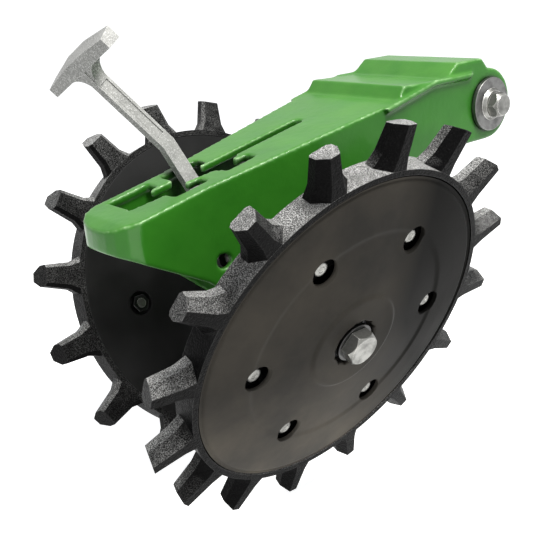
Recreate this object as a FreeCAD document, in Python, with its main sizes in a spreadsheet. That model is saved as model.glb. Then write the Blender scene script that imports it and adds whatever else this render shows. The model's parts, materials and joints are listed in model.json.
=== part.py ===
import FreeCAD, Part
import math
import os
import Sketcher

# Spiked closing wheel pair on its cast arm, in millimetres.
# The origin is the middle of the arm's pivot axis. +X points forward, +Y to the left, +Z up.

SIZES = {
    # Where the wheels stand, from the pivot
    "wheel_back": 210.0,
    "wheel_drop": 130.0,
    "half_track": 88.2,
    "wheel_stagger": 10.4,
    "wheel_rise": 4.6,
    "wheel_cant": 21.0,
    "right_spin": 18.9,
    "left_spin": 16.2,
    "right_bolt_spin": 1.0,
    "left_bolt_spin": 0.5,
    # Spiked ring
    "tip_radius": 165.0,
    "band_radius": 133.0,
    "band_wall": 4.4,
    "band_half_width": 9.7,
    "spike_count": 16.0,
    "spike_root_width": 33.0,
    "spike_neck_width": 21.5,
    "spike_tip_width": 17.0,
    "spike_neck_height": 8.0,
    "spike_root_sink": 3.0,
    "spike_tip_drop": 5.0,
    "spike_bevel": 0.0,
    "spike_crest": 0.42,
    "web_top": 6.0,
    "web_bottom": 2.0,
    "web_inner_radius": 76.0,
    # Outer cover
    "cover_gap": 0.4,
    "cover_sheet": 2.5,
    "cover_edge_rise": 9.2,
    "cover_lip": 1.7,
    "cover_step_radius": 88.0,
    "cover_step_rise": 13.4,
    "cover_step": 0.8,
    "cover_boss_radius": 37.0,
    "cover_boss_foot": 17.6,
    "cover_boss_rise": 19.2,
    "cover_hole_radius": 10.0,
    "cover_recess_radius": 19.5,
    "cover_flutes": 14.0,
    "cover_flute_radius": 1.7,
    # Hub plate and bearing
    "plate_sheet": 3.0,
    "plate_depth": 9.6,
    "plate_cup_radius": 13.0,
    "bolt_circle_radius": 84.0,
    "bolt_count": 6.0,
    "housing_radius": 26.0,
    "housing_top": 12.0,
    "bearing_radius": 20.0,
    "bearing_bottom": 3.0,
    "bearing_width": 12.0,
    "race_wall": 3.2,
    "inner_race_radius": 11.6,
    "inner_race_top": 16.3,
    "inner_race_bottom": 9.0,
    "ball_circle_radius": 14.2,
    "ball_radius": 3.2,
    "ball_clearance": 0.15,
    "ball_count": 8.0,
    "seal_gap": 0.3,
    "seal_seat": 0.05,
    "seal_sheet": 1.2,
    "ring_sheet": 1.5,
    # Fasteners
    "axle_radius": 7.94,
    "axle_clearance": 0.06,
    "axle_hex_flats": 23.8,
    "axle_head_height": 10.0,
    "axle_washer_radius": 15.5,
    "axle_washer_sheet": 3.0,
    "spacer_radius": 12.5,
    "boss_radius": 17.5,
    "boss_start": 31.0,
    "boss_end": 62.0,
    "spot_clearance": 1.0,
    "lock_washer_sheet": 3.0,
    "axle_nut_height": 13.0,
    "axle_tail": 4.0,
    "plate_bolt_radius": 4.0,
    "plate_bolt_head_radius": 5.6,
    "plate_bolt_head_height": 4.0,
    "plate_nut_flats": 13.0,
    "plate_nut_height": 5.5,
    "hole_clearance": 0.3,
    # Arm casting
    "nose_back": 349.0,
    "nose_top": -29.7,
    "nose_bottom": -53.0,
    "nose_half_width": 33.0,
    "nose_bulge": 7.0,
    "nose_rounding": 11.0,
    "arm_half_width": 53.5,
    "taper_rear": 282.0,
    "taper_front": 120.0,
    "plate_front": 112.0,
    "plate_front_top": 18.9,
    "shoulder_back": 104.0,
    "shoulder_top": 29.0,
    "roof_back": 55.0,
    "roof_crest": 40.0,
    "roof_top": 39.0,
    "roof_front": 8.0,
    "casting_wall": 5.5,
    "top_wall": 6.0,
    "ear_radius": 30.0,
    "ear_wall": 11.5,
    "ridge_stand": 3.6,
    "ridge_wall": 4.5,
    "belly_back": 238.0,
    "belly_front": 182.0,
    "belly_top": -127.0,
    "belly_bottom": -144.0,
    "keel_back": 289.0,
    "keel_rear": -84.5,
    "throat_back": 150.0,
    "throat_bottom": -80.0,
    "neck_back": 85.0,
    "core_hole_back": 275.0,
    "core_hole_drop": 72.0,
    "core_hole_radius": 5.5,
    # Notched channel in the top plate
    "channel_back": 329.5,
    "channel_front": 237.0,
    "channel_left": 8.6,
    "channel_right": -3.5,
    "slot_front": 163.5,
    "slot_right": -0.6,
    "notch_pitch": 44.0,
    "left_notch_end": 295.6,
    "left_notch_depth": 7.0,
    "left_notch_mouth": 25.0,
    "left_notch_edge": 25.6,
    "right_notch_end": 273.4,
    "right_notch_depth": 10.0,
    "right_notch_mouth": 20.5,
    "right_notch_edge": -20.5,
    "tongue_width": 6.4,
    "left_tongue_width": 3.8,
    "cut_spare": 20.0,
    # Pivot hardware
    "pivot_radius": 6.35,
    "bush_radius": 12.5,
    "bush_clearance": 0.05,
    "washer_radius": 22.4,
    "washer_sheet": 4.0,
    "side_play": 0.3,
    "flange_radius": 13.6,
    "flange_height": 3.0,
    "pivot_hex_flats": 19.0,
    "pivot_hex_height": 9.0,
    "pivot_thread_length": 16.0,
    "pivot_thread_radius": 6.2,
    # Lever and its yoke
    "yoke_back": 253.0,
    "yoke_drop": 78.0,
    "yoke_pin_radius": 6.0,
    "yoke_pin_clearance": 0.05,
    "close_fit": 0.05,
    "cross_cut": 60.0,
    "yoke_half_length": 10.0,
    "yoke_half_width": 11.0,
    "tilt_drop": 58.0,
    "tilt_pin_radius": 4.0,
    "yoke_cheek": 6.0,
    "lever_lean": 23.0,
    "lever_depth": 12.0,
    "lever_thickness": 6.5,
    "lever_foot_angle": 17.1,
    "lever_foot_length": 72.6,
    "lever_upper_angle": 34.0,
    "lever_upper_length": 77.0,
    "lever_eye_radius": 8.5,
    "grip_half_length": 48.0,
    "grip_end_height": 8.0,
    "grip_mid_height": 10.5,
    "grip_front_rise": 2.6,
    "grip_mid_rise": 4.0,
    "panel_depth": 0.8,
    "spring_bar_forward": 22.0,
    "spring_bar_rise": 24.0,
    "spring_bar_radius": 4.0,
    "spring_bar_half_length": 25.0,
    # Springs
    "spring_offset": 19.0,
    "spring_coil_radius": 9.5,
    "spring_wire_radius": 1.8,
    "spring_anchor_back": 46.0,
    "spring_anchor_drop": 26.0,
    "spring_hook_reach": 22.0,
}

X_AXIS = FreeCAD.Vector(1, 0, 0)
Y_AXIS = FreeCAD.Vector(0, 1, 0)
Z_AXIS = FreeCAD.Vector(0, 0, 1)

doc = FreeCAD.newDocument("closing_wheel")
sheet = doc.addObject("Spreadsheet::Sheet", "Sizes")
sub_parts = []


def fill_sheet():
    for row, (name, value) in enumerate(SIZES.items(), start=1):
        sheet.set("A%d" % row, name)
        sheet.set("B%d" % row, str(value))
        sheet.setAlias("B%d" % row, name)
    doc.recompute()


def formula_of(number):
    return number.formula if isinstance(number, Size) else str(float(number))


class Size(float):
    """A number from the sheet, or one worked out from such numbers, with its formula."""

    def __new__(cls, value, formula):
        made = super().__new__(cls, value)
        made.formula = formula
        return made

    def __add__(self, other):
        return Size(float(self) + float(other), "(%s + %s)" % (self.formula, formula_of(other)))

    def __radd__(self, other):
        return Size(float(other) + float(self), "(%s + %s)" % (formula_of(other), self.formula))

    def __sub__(self, other):
        return Size(float(self) - float(other), "(%s - %s)" % (self.formula, formula_of(other)))

    def __rsub__(self, other):
        return Size(float(other) - float(self), "(%s - %s)" % (formula_of(other), self.formula))

    def __mul__(self, other):
        return Size(float(self) * float(other), "(%s * %s)" % (self.formula, formula_of(other)))

    def __rmul__(self, other):
        return Size(float(other) * float(self), "(%s * %s)" % (formula_of(other), self.formula))

    def __truediv__(self, other):
        return Size(float(self) / float(other), "(%s / %s)" % (self.formula, formula_of(other)))

    def __neg__(self):
        return Size(-float(self), "(-1 * %s)" % self.formula)


class Dimensions:
    """Gives each size of the sheet by its name."""

    def __getattr__(self, name):
        return Size(float(sheet.get(name)), "Sizes." + name)


dim = Dimensions()


def bind(thing, **numbers):
    for name, number in numbers.items():
        thing.setExpression(name, formula_of(number))
    return thing


def facing(direction):
    return FreeCAD.Rotation(Z_AXIS, FreeCAD.Vector(*direction))


def at(x=0.0, y=0.0, z=0.0, rotation=None):
    return FreeCAD.Placement(FreeCAD.Vector(x, y, z), rotation or FreeCAD.Rotation())


def keep(thing, label, placement=None):
    """Names a finished sub-part and carries it to its place in the assembly."""
    thing.Label = label
    if placement is not None:
        thing.Placement = placement.multiply(thing.Placement)
    sub_parts.append(thing)


def cylinder(radius, length, placement=None):
    thing = doc.addObject("Part::Cylinder", "round")
    bind(thing, Radius=radius, Height=length)
    thing.Placement = placement or at()
    return thing


def cone(radius, top_radius, length, placement=None):
    thing = doc.addObject("Part::Cone", "taper")
    bind(thing, Radius1=radius, Radius2=top_radius, Height=length)
    thing.Placement = placement or at()
    return thing


def hexagon(flats, height, placement=None):
    thing = doc.addObject("Part::Prism", "hexagon")
    thing.Polygon = 6
    bind(thing, Circumradius=flats / math.sqrt(3), Height=height)
    thing.Placement = placement or at()
    return thing


def block(length, width, height, placement=None):
    thing = doc.addObject("Part::Box", "block")
    bind(thing, Length=length, Width=width, Height=height)
    thing.Placement = placement or at()
    return thing


def ball(radius, placement=None):
    thing = doc.addObject("Part::Sphere", "ball")
    bind(thing, Radius=radius)
    thing.Placement = placement or at()
    return thing


def torus(ring_radius, tube_radius, placement=None):
    thing = doc.addObject("Part::Torus", "torus")
    bind(thing, Radius1=ring_radius, Radius2=tube_radius)
    thing.Placement = placement or at()
    return thing


def fused(*things):
    if len(things) == 1:
        return things[0]
    result = doc.addObject("Part::MultiFuse", "joined")
    result.Shapes = list(things)
    return result


def cut(base, *tools):
    result = doc.addObject("Part::Cut", "cut")
    result.Base = base
    result.Tool = fused(*tools)
    return result


def common(first, second):
    result = doc.addObject("Part::MultiCommon", "shared")
    result.Shapes = [first, second]
    return result


def tube(outer, inner, length, placement=None):
    result = cut(cylinder(outer, length), cylinder(inner, length))
    result.Placement = placement or at()
    return result


def chamfered(thing, amount, edge_test):
    """Chamfers the edges of a Part object that pass a test."""
    doc.recompute()
    result = doc.addObject("Part::Chamfer", "bevelled")
    result.Base = thing
    result.Edges = [
        (number, amount, amount)
        for number, edge in enumerate(thing.Shape.Edges, start=1)
        if edge_test(edge)
    ]
    return result


def repeated(source, placements):
    """One node made of the same solid at several places."""
    doc.recompute()
    result = doc.addObject("Part::Feature", "group")
    solids = []
    for placement in placements:
        copy = source.Shape.copy()
        copy.Placement = placement.multiply(copy.Placement)
        solids.append(copy)
    result.Shape = Part.makeCompound(solids)
    return result


def turned_about_z(count, radius, first_angle, height=0.0):
    places = []
    for number in range(int(count)):
        angle = first_angle + 360.0 / count * number
        spin = FreeCAD.Placement(FreeCAD.Vector(), FreeCAD.Rotation(Z_AXIS, angle))
        places.append(spin.multiply(at(radius, 0, height)))
    return places


def outline(sketch, corners):
    """Draws a closed outline whose corners follow formulas of the sheet's names."""
    points = [FreeCAD.Vector(across, along, 0) for across, along in corners]
    count = len(points)
    sketch.addGeometry(
        [Part.LineSegment(points[index], points[(index + 1) % count]) for index in range(count)],
        False)
    sketch.addConstraint([
        Sketcher.Constraint("Coincident", index, 2, (index + 1) % count, 1)
        for index in range(count)])
    rules = []
    formulas = []
    for index, corner in enumerate(corners):
        for kind, number in zip(("DistanceX", "DistanceY"), corner):
            rules.append(Sketcher.Constraint(kind, -1, 1, index, 1, float(number)))
            formulas.append(formula_of(number))
    for number, formula in zip(sketch.addConstraint(rules), formulas):
        if "Sizes" in formula:
            sketch.setExpression("Constraints[%d]" % number, formula)
    return sketch


def origin_plane(body, role):
    return next(item for item in body.Origin.OriginFeatures if item.Role == role)


def body_sketch(body, role, corners, offset=None):
    sketch = body.newObject("Sketcher::SketchObject", "outline")
    sketch.AttachmentSupport = (origin_plane(body, role), [""])
    sketch.MapMode = "FlatFace"
    if offset is not None:
        sketch.AttachmentOffset = offset
    return outline(sketch, corners)


def revolved_body(corners):
    """A turned piece: the corners are (radius, height) round the Z axis."""
    body = doc.addObject("PartDesign::Body", "turned")
    sketch = body_sketch(body, "XZ_Plane", corners)
    turned = body.newObject("PartDesign::Revolution", "turning")
    turned.Profile = sketch
    turned.ReferenceAxis = (sketch, ["V_Axis"])
    turned.Angle = 360.0
    sketch.Visibility = False
    return body


def upright_slab(corners, low, high):
    """A slab whose outline lies in the XZ plane, from y = low to y = high."""
    sketch = doc.addObject("Sketcher::SketchObject", "side_outline")
    sketch.Placement = at(rotation=FreeCAD.Rotation(X_AXIS, 90))
    outline(sketch, corners)
    slab = doc.addObject("Part::Extrusion", "slab")
    slab.Base = sketch
    slab.DirMode = "Custom"
    slab.Dir = FreeCAD.Vector(0, -1, 0)
    slab.Solid = True
    bind(slab, LengthFwd=-low, LengthRev=high)
    return slab


def flat_slab(corners, low, high):
    """A slab whose outline lies in the XY plane, from z = low to z = high."""
    sketch = doc.addObject("Sketcher::SketchObject", "plan_outline")
    outline(sketch, corners)
    slab = doc.addObject("Part::Extrusion", "slab")
    slab.Base = sketch
    slab.DirMode = "Custom"
    slab.Dir = FreeCAD.Vector(0, 0, 1)
    slab.Solid = True
    bind(slab, LengthFwd=high, LengthRev=-low)
    return slab


def wheel_placement(side):
    """Wheel pieces are drawn about Z, with +Z pointing out of the machine.

    The right wheel stands a little farther back and higher than the left one.
    """
    turn = 90.0 + dim.wheel_cant
    angle = turn if side == "right" else -turn
    across = -dim.half_track if side == "right" else dim.half_track
    rotation = FreeCAD.Rotation(X_AXIS, angle)
    shift = 1 if side == "right" else -1
    back = dim.wheel_back + shift * dim.wheel_stagger
    return at(-back, across, shift * dim.wheel_rise - dim.wheel_drop, rotation)


def mirrored_sides(corners):
    """Completes an outline that is the same on both sides of the X axis."""
    other = [(along, -across) for along, across in reversed(corners)]
    return corners + other


# Wheel pieces


def spike_section(body, radius, half_width, half_height, top_drop=0.0):
    """One cross-section of a spike: full on the inner side, narrow on the outer side."""
    corners = [
        (-half_width, -half_height * 0.75),
        (-half_width * 0.7, -half_height),
        (half_width * 0.7, -half_height),
        (half_width, -half_height * 0.75),
        (half_width, half_height * dim.spike_bevel),
        (half_width * dim.spike_crest, half_height),
        (-half_width * dim.spike_crest, half_height),
        (-half_width, half_height * dim.spike_bevel),
    ]
    tilt = math.degrees(math.atan2(top_drop, 2 * half_height))
    offset = at(z=radius, rotation=FreeCAD.Rotation(X_AXIS, tilt))
    return body_sketch(body, "YZ_Plane", corners, offset)


def spike_ring(side):
    body = revolved_body([
        (dim.band_radius, -dim.band_half_width),
        (dim.band_radius, dim.band_half_width),
        (dim.band_radius - dim.band_wall, dim.band_half_width),
        (dim.band_radius - dim.band_wall, dim.web_top),
        (dim.web_inner_radius, dim.web_top),
        (dim.web_inner_radius, -dim.web_bottom),
        (dim.band_radius - dim.band_wall, -dim.web_bottom),
        (dim.band_radius - dim.band_wall, -dim.band_half_width),
    ])
    root = spike_section(
        body, dim.band_radius - dim.spike_root_sink, dim.spike_root_width / 2, dim.band_half_width)
    neck = spike_section(
        body, dim.band_radius + dim.spike_neck_height, dim.spike_neck_width / 2, dim.band_half_width - 0.5)
    tip = spike_section(
        body, dim.tip_radius - dim.spike_tip_drop / 2, dim.spike_tip_width / 2,
        dim.band_half_width - 1.2, dim.spike_tip_drop)
    spike = body.newObject("PartDesign::AdditiveLoft", "spike")
    spike.Profile = root
    spike.Sections = [neck, tip]
    spike.Ruled = True
    pattern = body.newObject("PartDesign::PolarPattern", "spikes")
    pattern.Originals = [spike]
    axis_feature = next(item for item in body.Origin.OriginFeatures if item.Role == "Z_Axis")
    pattern.Axis = (axis_feature, [""])
    pattern.Angle = 360.0
    bind(pattern, Occurrences=dim.spike_count)
    body.Tip = pattern
    spin = at(rotation=FreeCAD.Rotation(Z_AXIS, getattr(dim, side + "_spin")))
    bolt_holes = repeated(
        cylinder(dim.plate_bolt_radius + dim.hole_clearance, 4 * dim.web_top),
        turned_about_z(dim.bolt_count, dim.bolt_circle_radius,
                       getattr(dim, side + "_bolt_spin"), -(2 * dim.web_top)))
    body.Placement = spin
    ring = cut(body, bolt_holes)
    keep(ring, side + "_spike_ring", wheel_placement(side))


def outer_cover(side):
    drop = dim.cover_sheet
    rim = dim.band_radius - dim.band_wall - dim.cover_gap
    shell = revolved_body([
        (rim, dim.web_top + 0.2),
        (rim, dim.cover_edge_rise),
        (rim - dim.cover_lip, dim.cover_edge_rise + 0.7),
        (dim.cover_step_radius + 2, dim.cover_step_rise),
        (dim.cover_step_radius, dim.cover_step_rise - dim.cover_step),
        (dim.cover_boss_radius + 1.5, dim.cover_boss_foot),
        (dim.cover_boss_radius, dim.cover_boss_rise),
        (dim.cover_recess_radius, dim.cover_boss_rise),
        (dim.cover_recess_radius, dim.housing_top + 0.1),
        (dim.cover_recess_radius + dim.cover_sheet, dim.housing_top + 0.1),
        (dim.cover_recess_radius + dim.cover_sheet, dim.cover_boss_rise - drop),
        (dim.cover_boss_radius - 1.5, dim.cover_boss_rise - drop),
        (dim.cover_boss_radius, dim.cover_boss_foot - drop),
        (dim.cover_step_radius - 1.5, dim.cover_step_rise - dim.cover_step - drop),
        (dim.cover_step_radius + 0.5, dim.cover_step_rise - drop),
        (rim - dim.cover_lip - 1, dim.cover_edge_rise + 0.6 - drop),
        (rim - dim.cover_sheet, dim.web_top + 0.2),
    ])
    holes = repeated(
        cylinder(dim.cover_hole_radius, dim.cover_boss_rise),
        turned_about_z(dim.bolt_count, dim.bolt_circle_radius,
                       getattr(dim, side + "_bolt_spin"), dim.web_top))
    flutes = repeated(
        cylinder(dim.cover_flute_radius, dim.cover_boss_rise),
        turned_about_z(dim.cover_flutes, dim.cover_recess_radius, 0.0,
                       dim.cover_boss_rise - 4))
    keep(cut(shell, holes, flutes), side + "_outer_cover", wheel_placement(side))


def hub_plate(side):
    top = -dim.plate_depth + dim.plate_sheet
    disc = revolved_body([
        (dim.band_radius - dim.band_wall - dim.cover_gap, -dim.plate_depth),
        (dim.band_radius - dim.band_wall - dim.cover_gap, top),
        (dim.housing_radius, top),
        (dim.housing_radius, dim.housing_top),
        (dim.bearing_radius, dim.housing_top),
        (dim.bearing_radius, -dim.bearing_bottom),
        (dim.bearing_radius - dim.race_wall, -dim.bearing_bottom),
        (dim.bearing_radius - dim.race_wall, -dim.plate_depth),
    ])
    spin = getattr(dim, side + "_bolt_spin")
    count = dim.bolt_count
    radius = dim.bolt_circle_radius
    cups = repeated(cylinder(dim.plate_cup_radius, dim.plate_depth - dim.web_bottom),
                    turned_about_z(count, radius, spin, -dim.plate_depth))
    hollows = repeated(
        cylinder(dim.plate_cup_radius - dim.plate_sheet, dim.plate_depth - dim.web_bottom - dim.plate_sheet),
        turned_about_z(count, radius, spin, -dim.plate_depth))
    holes = repeated(cylinder(dim.plate_bolt_radius + dim.hole_clearance, dim.plate_depth),
                     turned_about_z(count, radius, spin, -dim.plate_depth))
    groove = cylinder(dim.bearing_radius + dim.ring_sheet, dim.ring_sheet + 0.1,
                      at(z=dim.bearing_width - dim.bearing_bottom))
    keep(cut(fused(disc, cups), hollows, holes, groove), side + "_hub_plate", wheel_placement(side))


def bearing(side):
    place = wheel_placement(side)
    middle = dim.bearing_width / 2 - dim.bearing_bottom
    groove = (dim.ball_circle_radius, dim.ball_radius + dim.ball_clearance)
    outer = tube(dim.bearing_radius, dim.bearing_radius - dim.race_wall, dim.bearing_width,
                 at(z=-dim.bearing_bottom))
    outer = cut(outer, torus(groove[0], groove[1], at(z=middle)))
    keep(outer, side + "_bearing_outer_race", place)
    inner = tube(dim.inner_race_radius, dim.axle_radius + dim.axle_clearance,
                 dim.inner_race_top + dim.inner_race_bottom, at(z=-dim.inner_race_bottom))
    inner = cut(inner, torus(groove[0], groove[1], at(z=middle)))
    keep(inner, side + "_bearing_inner_race", place)
    balls = repeated(ball(dim.ball_radius), turned_about_z(
        dim.ball_count, dim.ball_circle_radius, 0.0, middle))
    keep(balls, side + "_bearing_balls", place)
    seal = tube(dim.bearing_radius - dim.race_wall - dim.seal_seat,
                dim.inner_race_radius + dim.seal_gap, dim.seal_sheet)
    heights = (-dim.bearing_bottom + 0.4, dim.bearing_width - dim.bearing_bottom - dim.seal_sheet - 0.4)
    keep(repeated(seal, [at(z=height) for height in heights]), side + "_bearing_seals", place)
    snap = cut(
        tube(dim.bearing_radius + dim.ring_sheet - 0.1, dim.bearing_radius - 2, dim.ring_sheet),
        block(dim.bearing_radius * 2, 6, dim.ring_sheet, at(y=-3)))
    snap.Placement = at(z=dim.bearing_width - dim.bearing_bottom + dim.close_fit)
    keep(snap, side + "_bearing_snap_ring", place)


def plate_fasteners(side):
    place = wheel_placement(side)
    spin = getattr(dim, side + "_bolt_spin")
    count = dim.bolt_count
    radius = dim.bolt_circle_radius
    head = cylinder(dim.plate_bolt_head_radius, dim.plate_bolt_head_height, at(z=dim.web_top))
    head = chamfered(head, 1.0, lambda edge: edge.BoundBox.ZMin > dim.web_top + 1)
    shank = cylinder(dim.plate_bolt_radius, dim.web_top + dim.plate_depth + 1.5,
                     at(z=-(dim.plate_depth + 1.5)))
    keep(repeated(fused(head, shank), turned_about_z(count, radius, spin)),
         side + "_plate_bolts", place)
    nut = cut(hexagon(dim.plate_nut_flats, dim.plate_nut_height),
              cylinder(dim.plate_bolt_radius + dim.close_fit, dim.plate_nut_height))
    nut.Placement = at(z=-(dim.web_bottom + dim.plate_sheet + dim.plate_nut_height))
    keep(repeated(nut, turned_about_z(count, radius, spin)), side + "_plate_nuts", place)


def axle_set(side):
    place = wheel_placement(side)
    washer_low = dim.inner_race_top
    head_low = dim.inner_race_top + dim.axle_washer_sheet
    tail = dim.boss_end + dim.lock_washer_sheet + dim.axle_nut_height + dim.axle_tail
    head = hexagon(dim.axle_hex_flats, dim.axle_head_height)
    crown = cone(dim.axle_hex_flats * 0.78, dim.axle_hex_flats * 0.48, dim.axle_head_height * 1.02,
                 at(z=dim.axle_head_height * -0.02))
    head = common(head, crown)
    head.Placement = at(z=head_low)
    shank = cylinder(dim.axle_radius, head_low + tail, at(z=-tail))
    keep(fused(head, shank), side + "_axle_bolt", place)
    keep(tube(dim.axle_washer_radius, dim.axle_radius + dim.axle_clearance, dim.axle_washer_sheet,
              at(z=washer_low)), side + "_axle_washer", place)
    keep(tube(dim.spacer_radius, dim.axle_radius + dim.axle_clearance, dim.boss_start - dim.inner_race_bottom,
              at(z=-dim.boss_start)), side + "_axle_spacer", place)
    washer = cut(
        tube(dim.axle_hex_flats / 2, dim.axle_radius + dim.axle_clearance, dim.lock_washer_sheet),
        block(dim.axle_hex_flats, 2.5, dim.lock_washer_sheet, at(y=-1.2)))
    washer.Placement = at(z=-(dim.boss_end + dim.lock_washer_sheet))
    keep(washer, side + "_axle_lock_washer", place)
    nut = cut(hexagon(dim.axle_hex_flats, dim.axle_nut_height),
              cylinder(dim.axle_radius + dim.axle_clearance, dim.axle_nut_height))
    nut.Placement = at(z=-(dim.boss_end + dim.lock_washer_sheet + dim.axle_nut_height))
    keep(nut, side + "_axle_nut", place)


# Arm casting


def arm_casting():
    deep = -dim.belly_bottom + dim.cut_spare
    outer_side = upright_slab([
        (-dim.nose_back - dim.nose_bulge, dim.nose_bottom + 3),
        (-dim.nose_back + 4, dim.nose_bottom - 1.5),
        (-dim.keel_back, dim.keel_rear),
        (-dim.belly_back, dim.belly_top),
        (-dim.belly_back + 16, dim.belly_bottom),
        (-dim.belly_front - 16, dim.belly_bottom),
        (-dim.belly_front, dim.belly_top),
        (-dim.throat_back, dim.throat_bottom),
        (-dim.neck_back, -dim.ear_radius),
        (0, -dim.ear_radius),
        (0, dim.ear_radius),
        (-dim.roof_front, dim.roof_top),
        (-dim.roof_crest, dim.roof_top),
        (-dim.roof_back, dim.shoulder_top - 1.5),
        (-dim.shoulder_back, dim.shoulder_top),
        (-dim.plate_front, dim.plate_front_top),
        (-dim.nose_back + 2, dim.nose_top),
        (-dim.nose_back - dim.nose_bulge, dim.nose_top - 5),
    ], -dim.arm_half_width - 5, dim.arm_half_width + 5)
    outer_plan = flat_slab(mirrored_sides([
        (-dim.nose_back - dim.nose_bulge, dim.nose_half_width * 0.12),
        (-dim.nose_back - dim.nose_bulge * 0.85, dim.nose_half_width * 0.4),
        (-dim.nose_back - dim.nose_bulge * 0.45, dim.nose_half_width * 0.66),
        (-dim.nose_back + dim.nose_rounding * 0.2, dim.nose_half_width * 0.86),
        (-dim.nose_back + dim.nose_rounding, dim.nose_half_width),
        (-dim.taper_rear, dim.nose_half_width),
        (-dim.taper_front, dim.arm_half_width),
        (dim.ear_radius, dim.arm_half_width),
    ]), -deep, dim.roof_top + 5)
    ears = cylinder(dim.ear_radius, 2 * dim.arm_half_width,
                    at(y=-dim.arm_half_width, rotation=facing((0, 1, 0))))
    outside = fused(common(outer_side, outer_plan), ears)

    inner_side = upright_slab([
        (-dim.nose_back + dim.casting_wall + 1.5, -deep),
        (dim.ear_radius + 1, -deep),
        (dim.ear_radius + 1, dim.roof_top - dim.top_wall),
        (-dim.roof_crest + 2, dim.roof_top - dim.top_wall),
        (-dim.roof_back + 3, dim.shoulder_top - dim.top_wall - 1.5),
        (-dim.shoulder_back + 3, dim.shoulder_top - dim.top_wall),
        (-dim.plate_front + 3, dim.plate_front_top - dim.top_wall),
        (-dim.nose_back + dim.casting_wall + 1.5, dim.nose_top - dim.top_wall + 1.5),
    ], -dim.arm_half_width, dim.arm_half_width)
    inner_plan = flat_slab(mirrored_sides([
        (-dim.nose_back + dim.casting_wall, dim.nose_half_width * 0.5),
        (-dim.nose_back + dim.casting_wall + dim.nose_rounding, dim.nose_half_width - dim.casting_wall),
        (-dim.taper_rear, dim.nose_half_width - dim.casting_wall),
        (-dim.taper_front - 8, dim.arm_half_width - dim.casting_wall - 1),
        (-dim.plate_front + 6, dim.arm_half_width - dim.ear_wall),
        (dim.ear_radius + 1, dim.arm_half_width - dim.ear_wall),
    ]), -deep, dim.roof_top + 5)
    hollow = common(inner_side, inner_plan)

    shell = cut(outside, hollow)

    ridges = []
    for low, high in ((-dim.arm_half_width - dim.ridge_stand, -(dim.arm_half_width - 2)),
                      (dim.arm_half_width - 2, dim.arm_half_width + dim.ridge_stand)):
        ridges.append(upright_slab([
            (-dim.taper_front - 8, dim.plate_front_top - 3.4),
            (-dim.taper_front - 6, dim.plate_front_top - 3.4 - dim.ridge_wall),
            (-dim.roof_back - 16, dim.shoulder_top - dim.ridge_wall),
            (-dim.ear_radius + 4, dim.shoulder_top - dim.ridge_wall + 0.5),
            (-dim.ear_radius + 8, dim.shoulder_top),
            (-dim.roof_back - 16, dim.shoulder_top),
        ], low, high))

    bosses = []
    bores = []
    for side in ("right", "left"):
        place = wheel_placement(side)
        boss = cylinder(dim.boss_radius, dim.boss_end - dim.boss_start,
                        place.multiply(at(z=-dim.boss_end)))
        bosses.append(boss)
        bores.append(cylinder(dim.axle_radius + dim.axle_clearance, dim.boss_end + dim.cut_spare,
                              place.multiply(at(z=-(dim.boss_end + dim.cut_spare)))))
        bores.append(cylinder(dim.axle_hex_flats / math.sqrt(3) + dim.spot_clearance, dim.cut_spare,
                              place.multiply(at(z=-(dim.boss_end + dim.cut_spare)))))
    width = 2 * dim.arm_half_width + 20
    across = facing((0, 1, 0))
    start = -(dim.arm_half_width + 10)
    pivot_bore = cylinder(dim.bush_radius + dim.bush_clearance, width, at(y=start, rotation=across))
    yoke_bore = cylinder(dim.yoke_pin_radius + dim.yoke_pin_clearance, width,
                         at(-dim.yoke_back, start, -dim.yoke_drop, across))
    core_bore = cylinder(dim.core_hole_radius, width,
                         at(-dim.core_hole_back, start, -dim.core_hole_drop, across))
    body = fused(shell, *ridges, *bosses)
    casting = cut(body, pivot_bore, yoke_bore, core_bore, *bores, notched_channel())
    keep(casting, "arm_casting")


def notched_channel():
    """The winding opening in the top plate, with a hook notch at each hold on either side."""
    low = -(dim.plate_front_top + 80)
    corners = [
        (-dim.channel_back, dim.channel_right - 2),
        (-dim.channel_back + 25, dim.channel_right - 5),
    ]
    for hold in (0, dim.notch_pitch):
        end = hold - dim.right_notch_end
        mouth = end - dim.right_notch_mouth - dim.right_notch_depth
        tongue = end - dim.right_notch_depth
        corners += [
            (mouth + 2, dim.channel_right - 6),
            (mouth + 3, dim.right_notch_edge),
            (end, dim.right_notch_edge),
            (end, dim.channel_right - dim.tongue_width),
            (tongue + 1.5, dim.channel_right - dim.tongue_width),
            (tongue, dim.channel_right - dim.tongue_width + 1.5),
            (tongue, dim.channel_right - 1.5),
            (tongue + 1.5, dim.channel_right),
        ]
    corners += [
        (-dim.channel_front + 2, dim.channel_right),
        (-dim.channel_front + 5, dim.slot_right),
        (-dim.slot_front - 2.5, dim.slot_right),
        (-dim.slot_front, dim.slot_right + 2.5),
        (-dim.slot_front, dim.channel_left - 2.5),
        (-dim.slot_front - 2.5, dim.channel_left),
    ]
    for hold in (dim.notch_pitch, 0):
        end = hold - dim.left_notch_end
        mouth = end - dim.left_notch_mouth - dim.left_notch_depth
        tongue = end - dim.left_notch_depth
        corners += [
            (tongue + 1.5, dim.channel_left),
            (tongue, dim.channel_left + 1.5),
            (tongue, dim.channel_left + dim.left_tongue_width - 1.5),
            (tongue + 1.5, dim.channel_left + dim.left_tongue_width),
            (end, dim.channel_left + dim.left_tongue_width),
            (end, dim.left_notch_edge),
        ]
        if hold > 0:
            corners += [(mouth, dim.left_notch_edge), (mouth, dim.channel_left + 2),
                        (mouth - 2, dim.channel_left)]
    corners.append((-dim.channel_back, dim.left_notch_edge))
    return flat_slab(corners, low, dim.roof_top)


# Pivot hardware


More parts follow.
